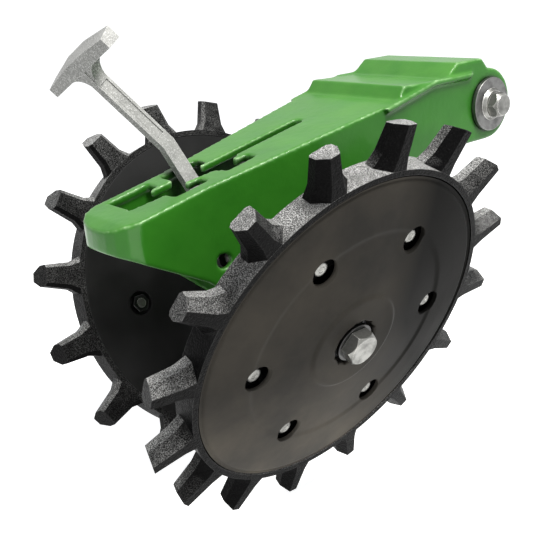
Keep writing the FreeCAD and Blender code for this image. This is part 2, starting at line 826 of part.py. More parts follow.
def pivot_set(side):
    """Drawn about Z, with +Z pointing out of the machine and zero at the ear's outer face."""
    out = -1 if side == "right" else 1
    place = at(y=out * dim.arm_half_width, rotation=facing((0, out, 0)))
    washer_low = dim.side_play
    bush_length = dim.ear_wall + 2 * dim.side_play
    keep(tube(dim.bush_radius, dim.pivot_radius + dim.close_fit, bush_length,
              at(z=-(dim.ear_wall + dim.side_play))), side + "_pivot_bush", place)
    keep(tube(dim.washer_radius, dim.pivot_radius + dim.close_fit, dim.washer_sheet, at(z=washer_low)),
         side + "_pivot_washer", place)
    flange_low = dim.side_play + dim.washer_sheet
    reach = dim.ear_wall + dim.side_play + dim.pivot_thread_length
    flange = cone(dim.flange_radius, dim.flange_radius - 2, dim.flange_height, at(z=flange_low))
    head = hexagon(dim.pivot_hex_flats, dim.pivot_hex_height + dim.flange_height)
    crown = cone(dim.pivot_hex_flats * 0.85, dim.pivot_hex_flats * 0.45,
                 dim.pivot_hex_height + dim.flange_height)
    head = common(head, crown)
    head.Placement = at(z=flange_low)
    thread = cylinder(dim.pivot_thread_radius, dim.pivot_thread_length + 1, at(z=-reach))
    shoulder = reach - dim.pivot_thread_length
    shank = cylinder(dim.pivot_radius, shoulder + dim.side_play + dim.washer_sheet + 1,
                     at(z=-shoulder))
    keep(fused(flange, head, shank, thread), side + "_pivot_bolt", place)


# Lever, yoke and springs


def lever_yoke():
    bar_length = 2 * dim.spring_bar_half_length
    across = facing((0, 1, 0))
    back = -dim.yoke_back
    low = -dim.yoke_drop
    half = dim.yoke_half_length
    cheek = dim.yoke_cheek
    base = cylinder(dim.yoke_pin_radius + 5, 2 * dim.yoke_half_width,
                    at(back, -dim.yoke_half_width, low, across))
    pieces = [base]
    for start in (back - half - cheek, back + half):
        pieces.append(block(dim.yoke_cheek, 2 * dim.yoke_half_width - 4, dim.yoke_drop - dim.tilt_drop + 8,
                            at(start, -(dim.yoke_half_width - 2), low)))
    pieces.append(block(2 * dim.yoke_half_length + 2 * dim.yoke_cheek, 2 * dim.yoke_half_width - 4, 5,
                        at(back - half - cheek, -(dim.yoke_half_width - 2), low)))
    for side in (-1, 1):
        start = -dim.yoke_half_width if side < 0 else dim.yoke_half_width - 5
        pieces.append(block(dim.spring_bar_forward - dim.yoke_half_length + dim.spring_bar_radius + 3,
                            5, dim.spring_bar_rise,
                            at(back + half, start, low + 4)))
    body = fused(*pieces)
    pin_hole = cylinder(dim.yoke_pin_radius + dim.yoke_pin_clearance, 2 * dim.yoke_half_width + 2,
                        at(back, -(dim.yoke_half_width + 1), low, across))
    tilt_hole = cylinder(dim.tilt_pin_radius + dim.close_fit, dim.cross_cut,
                         at(back - 30, 0, -dim.tilt_drop, facing((1, 0, 0))))
    bar_hole = cylinder(dim.spring_bar_radius + dim.close_fit, dim.cross_cut,
                        at(back + dim.spring_bar_forward, -30,
                           low + dim.spring_bar_rise, across))
    eye_room = cylinder(dim.lever_eye_radius + 1, 2 * dim.yoke_half_length,
                        at(back - half, 0, -dim.tilt_drop, facing((1, 0, 0))))
    keep(cut(body, pin_hole, tilt_hole, bar_hole, eye_room), "lever_yoke")
    keep(cylinder(dim.spring_bar_radius, bar_length,
                  at(back + dim.spring_bar_forward, -dim.spring_bar_half_length,
                     low + dim.spring_bar_rise, across)), "spring_bar")
    reach = half + cheek
    keep(fused(cylinder(dim.tilt_pin_radius, 2 * dim.yoke_half_length + 2 * dim.yoke_cheek + 1,
                        at(back - reach - 1, 0, -dim.tilt_drop, facing((1, 0, 0)))),
               cylinder(dim.tilt_pin_radius + 2, 2,
                        at(back - reach - 2, 0, -dim.tilt_drop, facing((1, 0, 0))))),
         "tilt_pin")


def yoke_pin():
    across = facing((0, 1, 0))
    back = -dim.yoke_back
    low = -dim.yoke_drop
    slope = (dim.arm_half_width - dim.nose_half_width) / (dim.taper_rear - dim.taper_front)
    wide = dim.nose_half_width + slope * (dim.taper_rear - dim.yoke_back + 10)
    shank = doc.addObject("Part::Cylinder", "yoke_pin_shank")
    bind(shank, Radius=dim.yoke_pin_radius)
    shank.Height = 2 * wide + 6
    shank.Placement = at(back, -wide - 2, low, across)
    head = cylinder(dim.yoke_pin_radius + 3, 2.5, at(back, -wide - 3, low, across))
    groove = cut(cylinder(dim.yoke_pin_radius + 1, 1.2), cylinder(dim.yoke_pin_radius - 1, 1.2))
    groove.Placement = at(back, wide + 1.0, low, across)
    keep(cut(fused(shank, head), groove), "yoke_pin")
    clip = cut(tube(dim.yoke_pin_radius + 3.5, dim.yoke_pin_radius - 0.9, 1),
               block(20, 7, 1, at(y=-3.5)))
    clip.Placement = at(back, wide + 1.1, low, across)
    keep(clip, "yoke_pin_clip")


def lever():
    """Drawn upright over its tilt pin, then leaned to the left into its notch."""
    depth = dim.lever_depth
    thick = dim.lever_thickness
    foot_turn = FreeCAD.Rotation(Y_AXIS, -dim.lever_foot_angle)
    upper_turn = FreeCAD.Rotation(Y_AXIS, -dim.lever_upper_angle)
    bend = foot_turn.multVec(FreeCAD.Vector(0, 0, dim.lever_foot_length))
    shaft = block(dim.lever_depth, dim.lever_thickness, dim.lever_foot_length)
    shaft.Placement = FreeCAD.Placement(
        foot_turn.multVec(FreeCAD.Vector(-depth / 2, -thick / 2, 0)), foot_turn)
    elbow = cylinder(dim.lever_depth / 2, dim.lever_thickness,
                     at(bend.x, -thick / 2, bend.z, facing((0, 1, 0))))
    upper = block(dim.lever_depth, dim.lever_thickness, dim.lever_upper_length + 4)
    upper.Placement = FreeCAD.Placement(
        bend + upper_turn.multVec(FreeCAD.Vector(-depth / 2, -thick / 2, 0)), upper_turn)
    eye = cylinder(dim.lever_eye_radius, 2 * dim.yoke_half_length - 1,
                   at(x=-(dim.yoke_half_length - 0.5), rotation=facing((1, 0, 0))))
    head = lever_head()
    head.Placement = FreeCAD.Placement(bend, upper_turn)
    solid = fused(shaft, elbow, upper, eye, head)
    pin_hole = cylinder(dim.tilt_pin_radius + dim.close_fit, dim.cross_cut, at(x=-30, rotation=facing((1, 0, 0))))
    panels = []
    for face in (-1, 1):
        panel = block(dim.lever_depth - 4.5, 2 * dim.panel_depth, dim.lever_upper_length - 22)
        start = FreeCAD.Vector(-depth / 2 + 2.25, face * thick / 2 - dim.panel_depth, 8)
        panel.Placement = FreeCAD.Placement(bend + upper_turn.multVec(start), upper_turn)
        panels.append(panel)
    lean = FreeCAD.Rotation(X_AXIS, -dim.lever_lean)
    place = at(-dim.yoke_back, 0, -dim.tilt_drop, lean)
    keep(cut(solid, pin_hole, *panels), "lever", place)


def lever_head():
    """The cross grip, crowned in the middle, and the flare that carries it."""
    result = doc.addObject("Part::Feature", "grip")
    half = dim.lever_depth / 2
    base = dim.lever_upper_length
    reach = dim.grip_half_length
    shapes = []
    stations = (
        (-reach, dim.grip_end_height, dim.grip_front_rise),
        (-reach * 0.3, dim.grip_mid_height, dim.grip_mid_rise),
        (reach * 0.3, dim.grip_mid_height, dim.grip_mid_rise),
        (reach, dim.grip_end_height, dim.grip_front_rise),
    )
    sections = []
    for across, height, rise in stations:
        corners = [(-half, base), (half, base), (half, base + height + rise), (-half, base + height)]
        points = [FreeCAD.Vector(x, across, z) for x, z in corners]
        sections.append(Part.makePolygon(points + points[:1]))
    shapes.append(Part.makeLoft(sections, True, True))
    thick = dim.lever_thickness / 2
    flare = 16.0
    for side in (-1, 1):
        start = FreeCAD.Vector(-half + 0.6, side * thick, base - flare)
        middle = FreeCAD.Vector(-half + 0.6, side * (thick + flare * 0.3), base - flare * 0.3)
        finish = FreeCAD.Vector(-half + 0.6, side * (thick + flare), base)
        corner = FreeCAD.Vector(-half + 0.6, 0, base)
        foot = FreeCAD.Vector(-half + 0.6, 0, base - flare)
        wire = Part.Wire([
            Part.Arc(start, middle, finish).toShape(),
            Part.LineSegment(finish, corner).toShape(),
            Part.LineSegment(corner, foot).toShape(),
            Part.LineSegment(foot, start).toShape(),
        ])
        shapes.append(Part.Face(wire).extrude(FreeCAD.Vector(2 * half - 1.2, 0, 0)))
    result.Shape = shapes[0].fuse(shapes[1:]).removeSplitter()
    return result


def spring(side):
    """An extension spring from the yoke's bar to the planter frame, close wound."""
    across = -dim.spring_offset if side == "right" else dim.spring_offset
    bar = FreeCAD.Vector(-dim.yoke_back + dim.spring_bar_forward, across,
                         -dim.yoke_drop + dim.spring_bar_rise)
    anchor = FreeCAD.Vector(-dim.spring_anchor_back, across, -dim.spring_anchor_drop)
    along = anchor - bar
    wire_radius = dim.spring_wire_radius
    reach = dim.spring_hook_reach
    length = along.Length - 2 * reach
    coil = dim.spring_coil_radius
    turns = int(length / (2 * wire_radius))
    pitch = length / turns
    inner_first = FreeCAD.Vector(coil - 2 * wire_radius, 0, 0)
    result = doc.addObject("Part::Feature", side + "_spring")
    edges = []
    for turn in range(turns):
        low = FreeCAD.Vector(coil - wire_radius * 0.45, 0, turn * pitch)
        middle = FreeCAD.Vector(coil, 0, (turn + 0.5) * pitch)
        high = FreeCAD.Vector(coil - wire_radius * 0.45, 0, (turn + 1) * pitch)
        edges.append(Part.Arc(low, middle, high).toShape())
    first = FreeCAD.Vector(coil - wire_radius * 0.45, 0, 0)
    last = FreeCAD.Vector(coil - wire_radius * 0.45, 0, length)
    inner_last = FreeCAD.Vector(coil - 2 * wire_radius, 0, length)
    edges.append(Part.LineSegment(last, inner_last).toShape())
    edges.append(Part.LineSegment(inner_last, inner_first).toShape())
    edges.append(Part.LineSegment(inner_first, first).toShape())
    body = Part.Face(Part.Wire(edges)).revolve(FreeCAD.Vector(), Z_AXIS, 360)
    shapes = [body]
    hook = dim.spring_bar_radius + wire_radius + 0.3
    for end in (0, 1):
        sign = -1 if end == 0 else 1
        start = 0 if end == 0 else length
        centre = FreeCAD.Vector(0, 0, start + sign * reach)
        middle = coil - wire_radius
        shapes.append(Part.makeCylinder(
            wire_radius, 2 * middle, FreeCAD.Vector(-middle, 0, start + sign * wire_radius * 0.5),
            X_AXIS))
        neck = reach - hook - wire_radius * 0.5 + 0.8
        low = start + sign * wire_radius * 0.5
        shapes.append(Part.makeCylinder(wire_radius, neck, FreeCAD.Vector(0, 0, low),
                                        FreeCAD.Vector(0, 0, sign)))
        ring = Part.makeTorus(hook, wire_radius, centre, Y_AXIS)
        mouth = Part.makeBox(hook + 4, 4 * wire_radius, hook * 0.8)
        corner = FreeCAD.Vector(-hook - 4, -2 * wire_radius, -hook * 0.8 if sign > 0 else 0)
        mouth.translate(centre + corner)
        shapes.append(ring.cut(mouth))
    result.Shape = shapes[0].fuse(shapes[1:])
    turn = FreeCAD.Rotation(Y_AXIS, math.degrees(math.atan2(along.x, along.z)))
    start = bar + turn.multVec(FreeCAD.Vector(0, 0, reach))
    keep(result, side + "_spring", FreeCAD.Placement(start, turn))


def check(thing):
    if "Invalid" in thing.State or "Error" in thing.State:
        raise RuntimeError("%s failed: %s" % (thing.Label, thing.State))


def write_parts():
    doc.recompute()
    for thing in doc.Objects:
        check(thing)
    os.makedirs("parts", exist_ok=True)
    for thing in sub_parts:
        shape = thing.Shape
        if shape.isNull() or not shape.isValid():
            raise RuntimeError("%s has no valid shape" % thing.Label)
        shape.exportStep("parts/%s.step" % thing.Label)
        print("%-28s %2d solid(s) %12.1f mm3" % (thing.Label, len(shape.Solids), shape.Volume))


fill_sheet()
arm_casting()
for wheel_side in ("right", "left"):
    spike_ring(wheel_side)
    outer_cover(wheel_side)
    hub_plate(wheel_side)
    bearing(wheel_side)
    plate_fasteners(wheel_side)
    axle_set(wheel_side)
    pivot_set(wheel_side)
    spring(wheel_side)
lever_yoke()
yoke_pin()
lever()
write_parts()
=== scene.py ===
import json
import math

import bmesh
import bpy
import numpy as np
from bpy.props import FloatProperty, FloatVectorProperty, IntProperty, PointerProperty
from bpy.types import Operator, Panel, PropertyGroup
from mathutils import Matrix, Vector

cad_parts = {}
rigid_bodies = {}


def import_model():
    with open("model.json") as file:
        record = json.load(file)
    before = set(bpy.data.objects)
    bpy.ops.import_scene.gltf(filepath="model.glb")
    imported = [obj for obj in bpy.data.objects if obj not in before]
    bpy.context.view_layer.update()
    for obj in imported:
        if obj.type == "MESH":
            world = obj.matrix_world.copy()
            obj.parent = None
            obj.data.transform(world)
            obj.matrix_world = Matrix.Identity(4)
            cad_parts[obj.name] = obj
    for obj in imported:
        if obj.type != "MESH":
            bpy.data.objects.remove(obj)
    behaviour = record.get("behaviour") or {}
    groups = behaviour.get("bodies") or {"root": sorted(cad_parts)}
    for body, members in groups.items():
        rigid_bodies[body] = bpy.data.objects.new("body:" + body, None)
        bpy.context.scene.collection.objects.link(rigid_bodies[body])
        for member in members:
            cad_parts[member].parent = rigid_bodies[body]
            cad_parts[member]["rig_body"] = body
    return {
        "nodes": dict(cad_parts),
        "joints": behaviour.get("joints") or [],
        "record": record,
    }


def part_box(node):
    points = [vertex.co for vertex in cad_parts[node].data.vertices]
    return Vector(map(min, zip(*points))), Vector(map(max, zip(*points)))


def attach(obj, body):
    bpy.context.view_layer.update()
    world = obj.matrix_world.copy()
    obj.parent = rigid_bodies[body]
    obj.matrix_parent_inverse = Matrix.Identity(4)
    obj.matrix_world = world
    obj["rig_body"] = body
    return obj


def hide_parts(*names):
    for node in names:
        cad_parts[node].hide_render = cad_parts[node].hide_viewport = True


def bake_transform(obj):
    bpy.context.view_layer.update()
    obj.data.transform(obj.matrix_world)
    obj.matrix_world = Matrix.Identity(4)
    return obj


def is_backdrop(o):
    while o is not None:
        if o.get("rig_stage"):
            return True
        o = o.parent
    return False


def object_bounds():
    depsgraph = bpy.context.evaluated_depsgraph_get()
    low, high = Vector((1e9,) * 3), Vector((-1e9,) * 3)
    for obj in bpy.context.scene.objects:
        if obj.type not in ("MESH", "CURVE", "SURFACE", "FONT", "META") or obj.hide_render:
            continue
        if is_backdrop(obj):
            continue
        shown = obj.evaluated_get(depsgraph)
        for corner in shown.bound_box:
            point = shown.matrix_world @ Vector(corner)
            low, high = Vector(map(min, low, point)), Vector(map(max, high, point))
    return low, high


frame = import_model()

bl_info = {
    "name": "Closing Wheel Dresser",
    "version": (1, 0, 0),
    "blender": (4, 5, 0),
    "location": "View3D > Sidebar > Closing Wheel",
    "description": "Dresses a pair of spiked closing wheels and their cast arm over the packed solids",
    "category": "Object",
}

MM = 0.001
SIDES = ("right", "left")

FLOOR_RADIUS = 80.0
FLOOR_GLOW = 0.8
FLOOR_GAP = 0.0015
SOFT_WORLD = 0.42

CAMERA_SENSOR = 36.0
CAMERA_LENS = 57.41
CAMERA_PLACE = (-0.6055, -0.5029, 0.1201)
CAMERA_RIGHT = (0.76925, -0.63477, -0.07298)
CAMERA_DOWN = (-0.26184, -0.20898, -0.94222)
CAMERA_AHEAD = (0.58283, 0.74391, -0.32696)

# Each lamp's name, place, aim, width and tint. Its power is the setting of the same name.
LAMPS = (
    ("key", (-0.2, -0.5, 1.1), (-0.2, 0.0, -0.06), 0.5, (1.0, 0.985, 0.96)),
    ("fill", (-1.45, -0.6, 0.6), (-0.2, 0.0, -0.06), 0.9, (0.96, 0.98, 1.0)),
    ("bounce", (-0.62, -0.62, -0.2), (-0.26, -0.12, -0.27), 0.4, (1.0, 0.95, 0.88)),
)

CAST_SMOOTHING = 8
CAST_KEEP = 0.4
SWELL_SIZE = 0.026

# Turned outlines, as radius and height in millimetres on a wheel drawn about Z
COVER_FACE = (
    (128.2, 6.3), (128.2, 9.0), (127.6, 9.5), (126.9, 9.5), (126.3, 8.3), (125.2, 8.3),
    (124.4, 10.0), (108.0, 11.75), (90.4, 13.35), (89.0, 13.1), (86.8, 12.75), (70.0, 14.5),
    (52.0, 16.3), (39.4, 17.45), (38.4, 18.8), (37.4, 19.15), (28.0, 19.15), (18.9, 19.15),
    (17.9, 18.3), (17.9, 12.3))
COVER_BACK = (
    (20.6, 12.3), (20.8, 16.6), (36.0, 16.6), (38.5, 15.0), (86.0, 10.3), (124.0, 7.2),
    (125.6, 6.3))
HOLE_LEVEL = 9.8
HOLE_FLARE = ((-4.0, 0.0), (0.0, 0.0), (2.6, 0.0), (3.0, 0.12), (3.35, 0.4), (3.6, 0.9), (9.0, 5.0))
HOLE_SIDES = 48

# The fluted wall of the cover's centre recess, in millimetres
FLUTE_DEPTH = 1.5
FLUTE_RADIUS = 18.1
FLUTE_WIDTH = 1.6
FLUTE_FLOOR = 14.0

# The springs' ends, in millimetres
SPRING_REACH = 22.0
HOOK_RADIUS = 6.1

# For each side: the solid, the piece that stands for it, its corner in mm, segments and finish
SIDE_HARDWARE = (
    ("hub_plate", "pressed_hub", 0.5, 2, None),
    ("axle_bolt", "hub_bolt", 0.55, 3, None),
    ("axle_washer", "hub_washer", 0.5, 3, "oiled_steel"),
    ("axle_nut", "hub_nut", 0.5, 2, None),
    ("axle_lock_washer", "hub_lock_washer", 0.35, 2, None),
    ("axle_spacer", "hub_spacer", 0.4, 2, None),
    ("plate_nuts", "cover_nuts", 0.9, 3, "oiled_steel"),
    ("pivot_bolt", "pivot_screw", 0.6, 3, None),
    ("pivot_washer", "pivot_disc", 0.7, 3, None),
    ("pivot_bush", "pivot_sleeve", 0.3, 2, None),
)
ROD_HARDWARE = (
    ("yoke_pin", "yoke_rod", 0.5, 2),
    ("tilt_pin", "tilt_rod", 0.4, 2),
    ("spring_bar", "spring_rod", 0.5, 2),
    ("yoke_pin_clip", "yoke_clip", 0.2, 2),
)


class ClosingWheelSettings(PropertyGroup):
    """Sizes, colours and lights that a user of the add-on may change."""

    ring_corner: FloatProperty(
        name="Ring corner", description="Width of the rounded corners on the spiked rings",
        default=0.0009, min=0.0002, max=0.003, unit="LENGTH", precision=4)
    arm_voxel: FloatProperty(
        name="Arm detail", description="Voxel size of the arm casting's skin",
        default=0.00125, min=0.0006, max=0.004, unit="LENGTH", precision=5)
    lever_corner: FloatProperty(
        name="Lever corner", description="Width of the rounded corners on lever and yoke",
        default=0.0007, min=0.0002, max=0.002, unit="LENGTH", precision=4)
    cast_swell: FloatProperty(
        name="Cast unevenness", description="How far the arm's cast faces swell",
        default=0.0003, min=0.0, max=0.0015, unit="LENGTH", precision=4)
    hole_count: IntProperty(
        name="Cover holes", description="Number of bolts and holes on each cover",
        default=6, min=3, max=12)
    hole_circle: FloatProperty(
        name="Hole circle", description="Radius of the circle that the cover's holes lie on",
        default=0.084, min=0.05, max=0.11, unit="LENGTH", precision=4)
    hole_radius: FloatProperty(
        name="Cover hole", description="Radius of each hole in the cover",
        default=0.010, min=0.006, max=0.015, unit="LENGTH", precision=4)
    flutes: IntProperty(
        name="Recess flutes", description="Number of flutes round the cover's centre recess",
        default=14, min=6, max=30)
    bolt_radius: FloatProperty(
        name="Cover bolt", description="Radius of the head of each cover bolt",
        default=0.0056, min=0.004, max=0.009, unit="LENGTH", precision=4)
    spring_turns: IntProperty(
        name="Spring turns", description="Number of windings of each spring",
        default=38, min=5, max=80)
    spring_radius: FloatProperty(
        name="Spring radius", description="Radius of the windings at the middle of the wire",
        default=0.0077, min=0.004, max=0.012, unit="LENGTH", precision=4)
    spring_wire: FloatProperty(
        name="Spring wire", description="Radius of the springs' wire",
        default=0.00175, min=0.0005, max=0.003, unit="LENGTH", precision=5)
    paint_deep: FloatVectorProperty(
        name="Paint, deep", description="Darker tone of the arm's green paint",
        default=(0.021, 0.142, 0.0095), min=0.0, max=1.0, subtype="COLOR")
    paint_light: FloatVectorProperty(
        name="Paint, light", description="Lighter tone of the arm's green paint",
        default=(0.031, 0.182, 0.0135), min=0.0, max=1.0, subtype="COLOR")
    cover_deep: FloatVectorProperty(
        name="Cover, deep", description="Darker tone of the covers' coating",
        default=(0.072, 0.068, 0.061), min=0.0, max=1.0, subtype="COLOR")
    cover_light: FloatVectorProperty(
        name="Cover, light", description="Lighter tone of the covers' coating",
        default=(0.140, 0.126, 0.104), min=0.0, max=1.0, subtype="COLOR")
    lever_deep: FloatVectorProperty(
        name="Lever, deep", description="Darker tone of the lever's casting",
        default=(0.25, 0.252, 0.240), min=0.0, max=1.0, subtype="COLOR")
    lever_light: FloatVectorProperty(
        name="Lever, light", description="Lighter tone of the lever's casting",
        default=(0.36, 0.362, 0.345), min=0.0, max=1.0, subtype="COLOR")
    zinc_colour: FloatVectorProperty(
        name="Zinc", description="Colour of the zinc plate on bolts and nuts",
        default=(0.27, 0.27, 0.255), min=0.0, max=1.0, subtype="COLOR")
    key: FloatProperty(
        name="Key light", description="Power of the lamp above",
        default=24.0, min=0.0, unit="POWER")
    fill: FloatProperty(
        name="Fill light", description="Power of the lamp at the left",
        default=1.6, min=0.0, unit="POWER")
    bounce: FloatProperty(
        name="Low light", description="Power of the lamp that stands for light off the floor",
        default=0.9, min=0.0, unit="POWER")


def settings():
    return bpy.context.scene.closing_wheel


def opaque(colour):
    """A colour with full alpha, as node sockets take it."""
    return tuple(colour) + (1,)


# Node trees


class Graph:
    """Adds nodes to a tree and links them by socket name."""

    def __init__(self, tree):
        self.tree = tree
        self.column = 0

    def add(self, kind, inputs=None, **options):
        """Adds a node, sets its options and feeds its inputs."""
        made = self.tree.nodes.new(kind)
        made.location = (self.column * 190, -(self.column % 4) * 170)
        self.column += 1
        for name, value in options.items():
            setattr(made, name, value)
        for name, value in (inputs or {}).items():
            self.feed(made.inputs[name], value)
        return made

    def feed(self, socket, value):
        """Links a socket or sets its value."""
        if isinstance(value, bpy.types.NodeSocket):
            self.tree.links.new(value, socket)
        else:
            socket.default_value = value

    def math(self, operation, first, second=0.0, clamp=False):
        made = self.add("ShaderNodeMath", operation=operation, use_clamp=clamp)
        self.feed(made.inputs[0], first)
        self.feed(made.inputs[1], second)
        return made.outputs[0]

    def ramp(self, value, low, high, start=0.0, end=1.0):
        """Maps low..high to start..end and holds it there outside."""
        made = self.add("ShaderNodeMapRange", {
            "Value": value, "From Min": low, "From Max": high, "To Min": start, "To Max": end})
        made.clamp = True
        return made.outputs["Result"]

    def mix(self, factor, first, second):
        """Blends two colours."""
        made = self.add("ShaderNodeMix", data_type="RGBA")
        self.feed(made.inputs["Factor"], factor)
        self.feed(made.inputs[6], first)
        self.feed(made.inputs[7], second)
        return made.outputs[2]

    def noise(self, vector, scale, detail=3.0, roughness=0.55):
        return self.add("ShaderNodeTexNoise", {
            "Vector": vector, "Scale": scale, "Detail": detail, "Roughness": roughness}).outputs["Fac"]


def shader_group(name, inputs, outputs):
    """A shader node group with its sockets, and a Graph to fill it."""
    group = bpy.data.node_groups.new(name, "ShaderNodeTree")
    for label, kind, default in inputs:
        socket = group.interface.new_socket(label, in_out="INPUT", socket_type=kind)
        if default is not None:
            socket.default_value = default
    for label, kind in outputs:
        group.interface.new_socket(label, in_out="OUTPUT", socket_type=kind)
    graph = Graph(group)
    return group, graph, graph.add("NodeGroupInput"), graph.add("NodeGroupOutput")


def upward(graph):
    """How much a face looks up: one on level tops, zero on walls, below zero underneath."""
    normal = graph.add("ShaderNodeNewGeometry").outputs["Normal"]
    return graph.add("ShaderNodeSeparateXYZ", {"Vector": normal}).outputs["Z"]


def cast_grain_group():
    """The pebbled skin of sand-cast metal: coarse swells, grains and pits."""
    group, graph, source, result = shader_group(
        "Cast Grain",
        [("Vector", "NodeSocketVector", None), ("Grain Size", "NodeSocketFloat", 1.0),
         ("Pits", "NodeSocketFloat", 0.5)],
        [("Height", "NodeSocketFloat"), ("Speck", "NodeSocketFloat")])
    scale = graph.math("DIVIDE", 420.0, source.outputs["Grain Size"])
    grains = graph.add("ShaderNodeTexVoronoi", {
        "Vector": source.outputs["Vector"], "Scale": scale}, feature="SMOOTH_F1").outputs["Distance"]
    swell = graph.noise(source.outputs["Vector"], graph.math("MULTIPLY", scale, 0.22), 4.0)
    fine = graph.noise(source.outputs["Vector"], graph.math("MULTIPLY", scale, 2.4), 2.0, 0.7)
    pits = graph.ramp(graph.noise(source.outputs["Vector"], graph.math("MULTIPLY", scale, 0.6), 2.0),
                      0.60, 0.72)
    height = graph.math("MULTIPLY", graph.math("SUBTRACT", 1.0, grains), 0.42)
    height = graph.math("ADD", height, graph.math("MULTIPLY", swell, 0.55))
    height = graph.math("ADD", height, graph.math("MULTIPLY", fine, 0.28))
    loss = graph.math("MULTIPLY", pits, graph.math("MULTIPLY", source.outputs["Pits"], 0.5))
    graph.feed(result.inputs["Height"], graph.math("SUBTRACT", height, loss))
    speck = graph.ramp(graph.math("MULTIPLY", fine, graph.math("SUBTRACT", 1.2, grains)), 0.42, 0.62)
    graph.feed(result.inputs["Speck"], speck)
    return group


def dusty_top_light_group():
    """Dusty tops on faces that look up, broken by cloudy noise; the lighter colour they get is partly
    painted top light.
    """
    group, graph, source, result = shader_group(
        "Dust Film",
        [("Vector", "NodeSocketVector", None), ("Amount", "NodeSocketFloat", 0.5)],
        [("Mask", "NodeSocketFloat")])
    facing = graph.ramp(upward(graph), -0.1, 0.9)
    cloud = graph.ramp(graph.noise(source.outputs["Vector"], 34.0, 4.0, 0.5), 0.2, 0.85)
    mask = graph.math("MULTIPLY", graph.math("MULTIPLY", facing, cloud), source.outputs["Amount"])
    graph.feed(result.inputs["Mask"], mask)
    return group


def brushed_group():
    """Fine rings and scratches left on turned or rolled steel."""
    group, graph, source, result = shader_group(
        "Worked Steel",
        [("Vector", "NodeSocketVector", None), ("Scale", "NodeSocketFloat", 900.0)],
        [("Height", "NodeSocketFloat"), ("Stain", "NodeSocketFloat")])
    fine = graph.noise(source.outputs["Vector"], source.outputs["Scale"], 3.0, 0.7)
    coarse = graph.noise(source.outputs["Vector"], 120.0, 4.0, 0.6)
    graph.feed(result.inputs["Height"], graph.math("ADD", graph.math("MULTIPLY", fine, 0.35),
                                                   graph.math("MULTIPLY", coarse, 0.65)))
    graph.feed(result.inputs["Stain"], graph.ramp(coarse, 0.42, 0.66))
    return group


GROUPS = {}


def shared_group(name):
    """A shader group by its short name, made when first asked for."""
    if name not in GROUPS:
        GROUPS[name] = {"grain": cast_grain_group, "dusty_top_light": dusty_top_light_group, "brushed": brushed_group}[name]()
    return GROUPS[name]


def new_material(name):
    """A material with its Principled shader and the piece's own coordinates."""
    material = bpy.data.materials.new(name)
    material.use_nodes = True
    material.node_tree.nodes.clear()
    graph = Graph(material.node_tree)
    result = graph.add("ShaderNodeOutputMaterial")
    shader = graph.add("ShaderNodeBsdfPrincipled")
    graph.feed(result.inputs["Surface"], shader.outputs["BSDF"])
    place = graph.add("ShaderNodeTexCoord").outputs["Object"]
    return material, graph, shader, place


def use_group(graph, name, inputs):
    """Places a shared shader group in a material."""
    made = graph.add("ShaderNodeGroup", node_tree=shared_group(name))
    for label, value in inputs.items():
        graph.feed(made.inputs[label], value)
    return made


def bump(graph, shader, height, depth_mm, strength=1.0):
    """Feeds a height to the shader as relief of a depth in millimetres."""
    made = graph.add("ShaderNodeBump", {
        "Height": height, "Distance": depth_mm * MM, "Strength": strength})
    graph.feed(shader.inputs["Normal"], made.outputs["Normal"])


def edge_mask(graph, low, high):
    """Reads the sharpness painted on a remeshed piece's outer corners."""
    edge = graph.add("ShaderNodeAttribute", attribute_name="edge").outputs["Fac"]
    return graph.ramp(edge, low, high)


def hollow_shade_mask(graph, reach, open_share, closed_share):
    """One deep inside slots and hollows, where light is poor, for painted shade."""
    shade = graph.add("ShaderNodeAmbientOcclusion", {"Distance": reach}, samples=6).outputs["AO"]
    return graph.ramp(shade, closed_share, open_share, 1.0, 0.0)


def corner_highlight_mask(graph, reach, low, high):
    """One along a piece's corners, found by how far a rounded normal turns from the flat one, for painted
    highlights.
    """
    rounded = graph.add("ShaderNodeBevel", {"Radius": reach}, samples=4).outputs["Normal"]
    flat = graph.add("ShaderNodeNewGeometry").outputs["Normal"]
    along = graph.add("ShaderNodeVectorMath", operation="DOT_PRODUCT")
    graph.feed(along.inputs[0], rounded)
    graph.feed(along.inputs[1], flat)
    return graph.ramp(along.outputs["Value"], 1.0 - high, 1.0 - low, 1.0, 0.0)


def black_casting(name):
    """Thick black coat over a coarse cast skin, with painted sparkle on grains where faces look up,
    painted light on those faces and painted highlights along the corners.
    """
    material, graph, shader, place = new_material(name)
    grain = use_group(graph, "grain", {"Vector": place, "Grain Size": 0.62, "Pits": 0.8})
    # Painted sparkle: light grains mixed into the colour, only where faces look up.
    glint = graph.ramp(graph.noise(place, 1450.0, 2.0, 0.65), 0.45, 0.63)
    patch = graph.ramp(graph.noise(place, 70.0, 3.0), 0.35, 0.6, 0.5, 1.0)
    up = upward(graph)
    lit = graph.ramp(up, 0.3, 0.85, 0.005, 1.0)
    painted_glints = graph.math("MULTIPLY", graph.math("MULTIPLY", glint, patch), lit)
    colour = graph.mix(grain.outputs["Speck"], (0.002, 0.002, 0.0021, 1), (0.006, 0.006, 0.0062, 1))
    # Painted light: faces that look up turn grey.
    colour = graph.mix(graph.ramp(up, 0.45, 0.95), colour, (0.085, 0.085, 0.083, 1))
    colour = graph.mix(painted_glints, colour, (0.60, 0.60, 0.59, 1))
    # Painted highlights along the corners.
    colour = graph.mix(graph.math("MULTIPLY", corner_highlight_mask(graph, 0.0012, 0.06, 0.35), 0.5),
                       colour, (0.10, 0.10, 0.10, 1))
    graph.feed(shader.inputs["Base Color"], colour)
    graph.feed(shader.inputs["Roughness"], graph.ramp(grain.outputs["Height"], 0.35, 0.95, 0.5, 0.3))
    shader.inputs["Specular IOR Level"].default_value = 0.03
    bump(graph, shader, grain.outputs["Height"], 0.8)
    return material


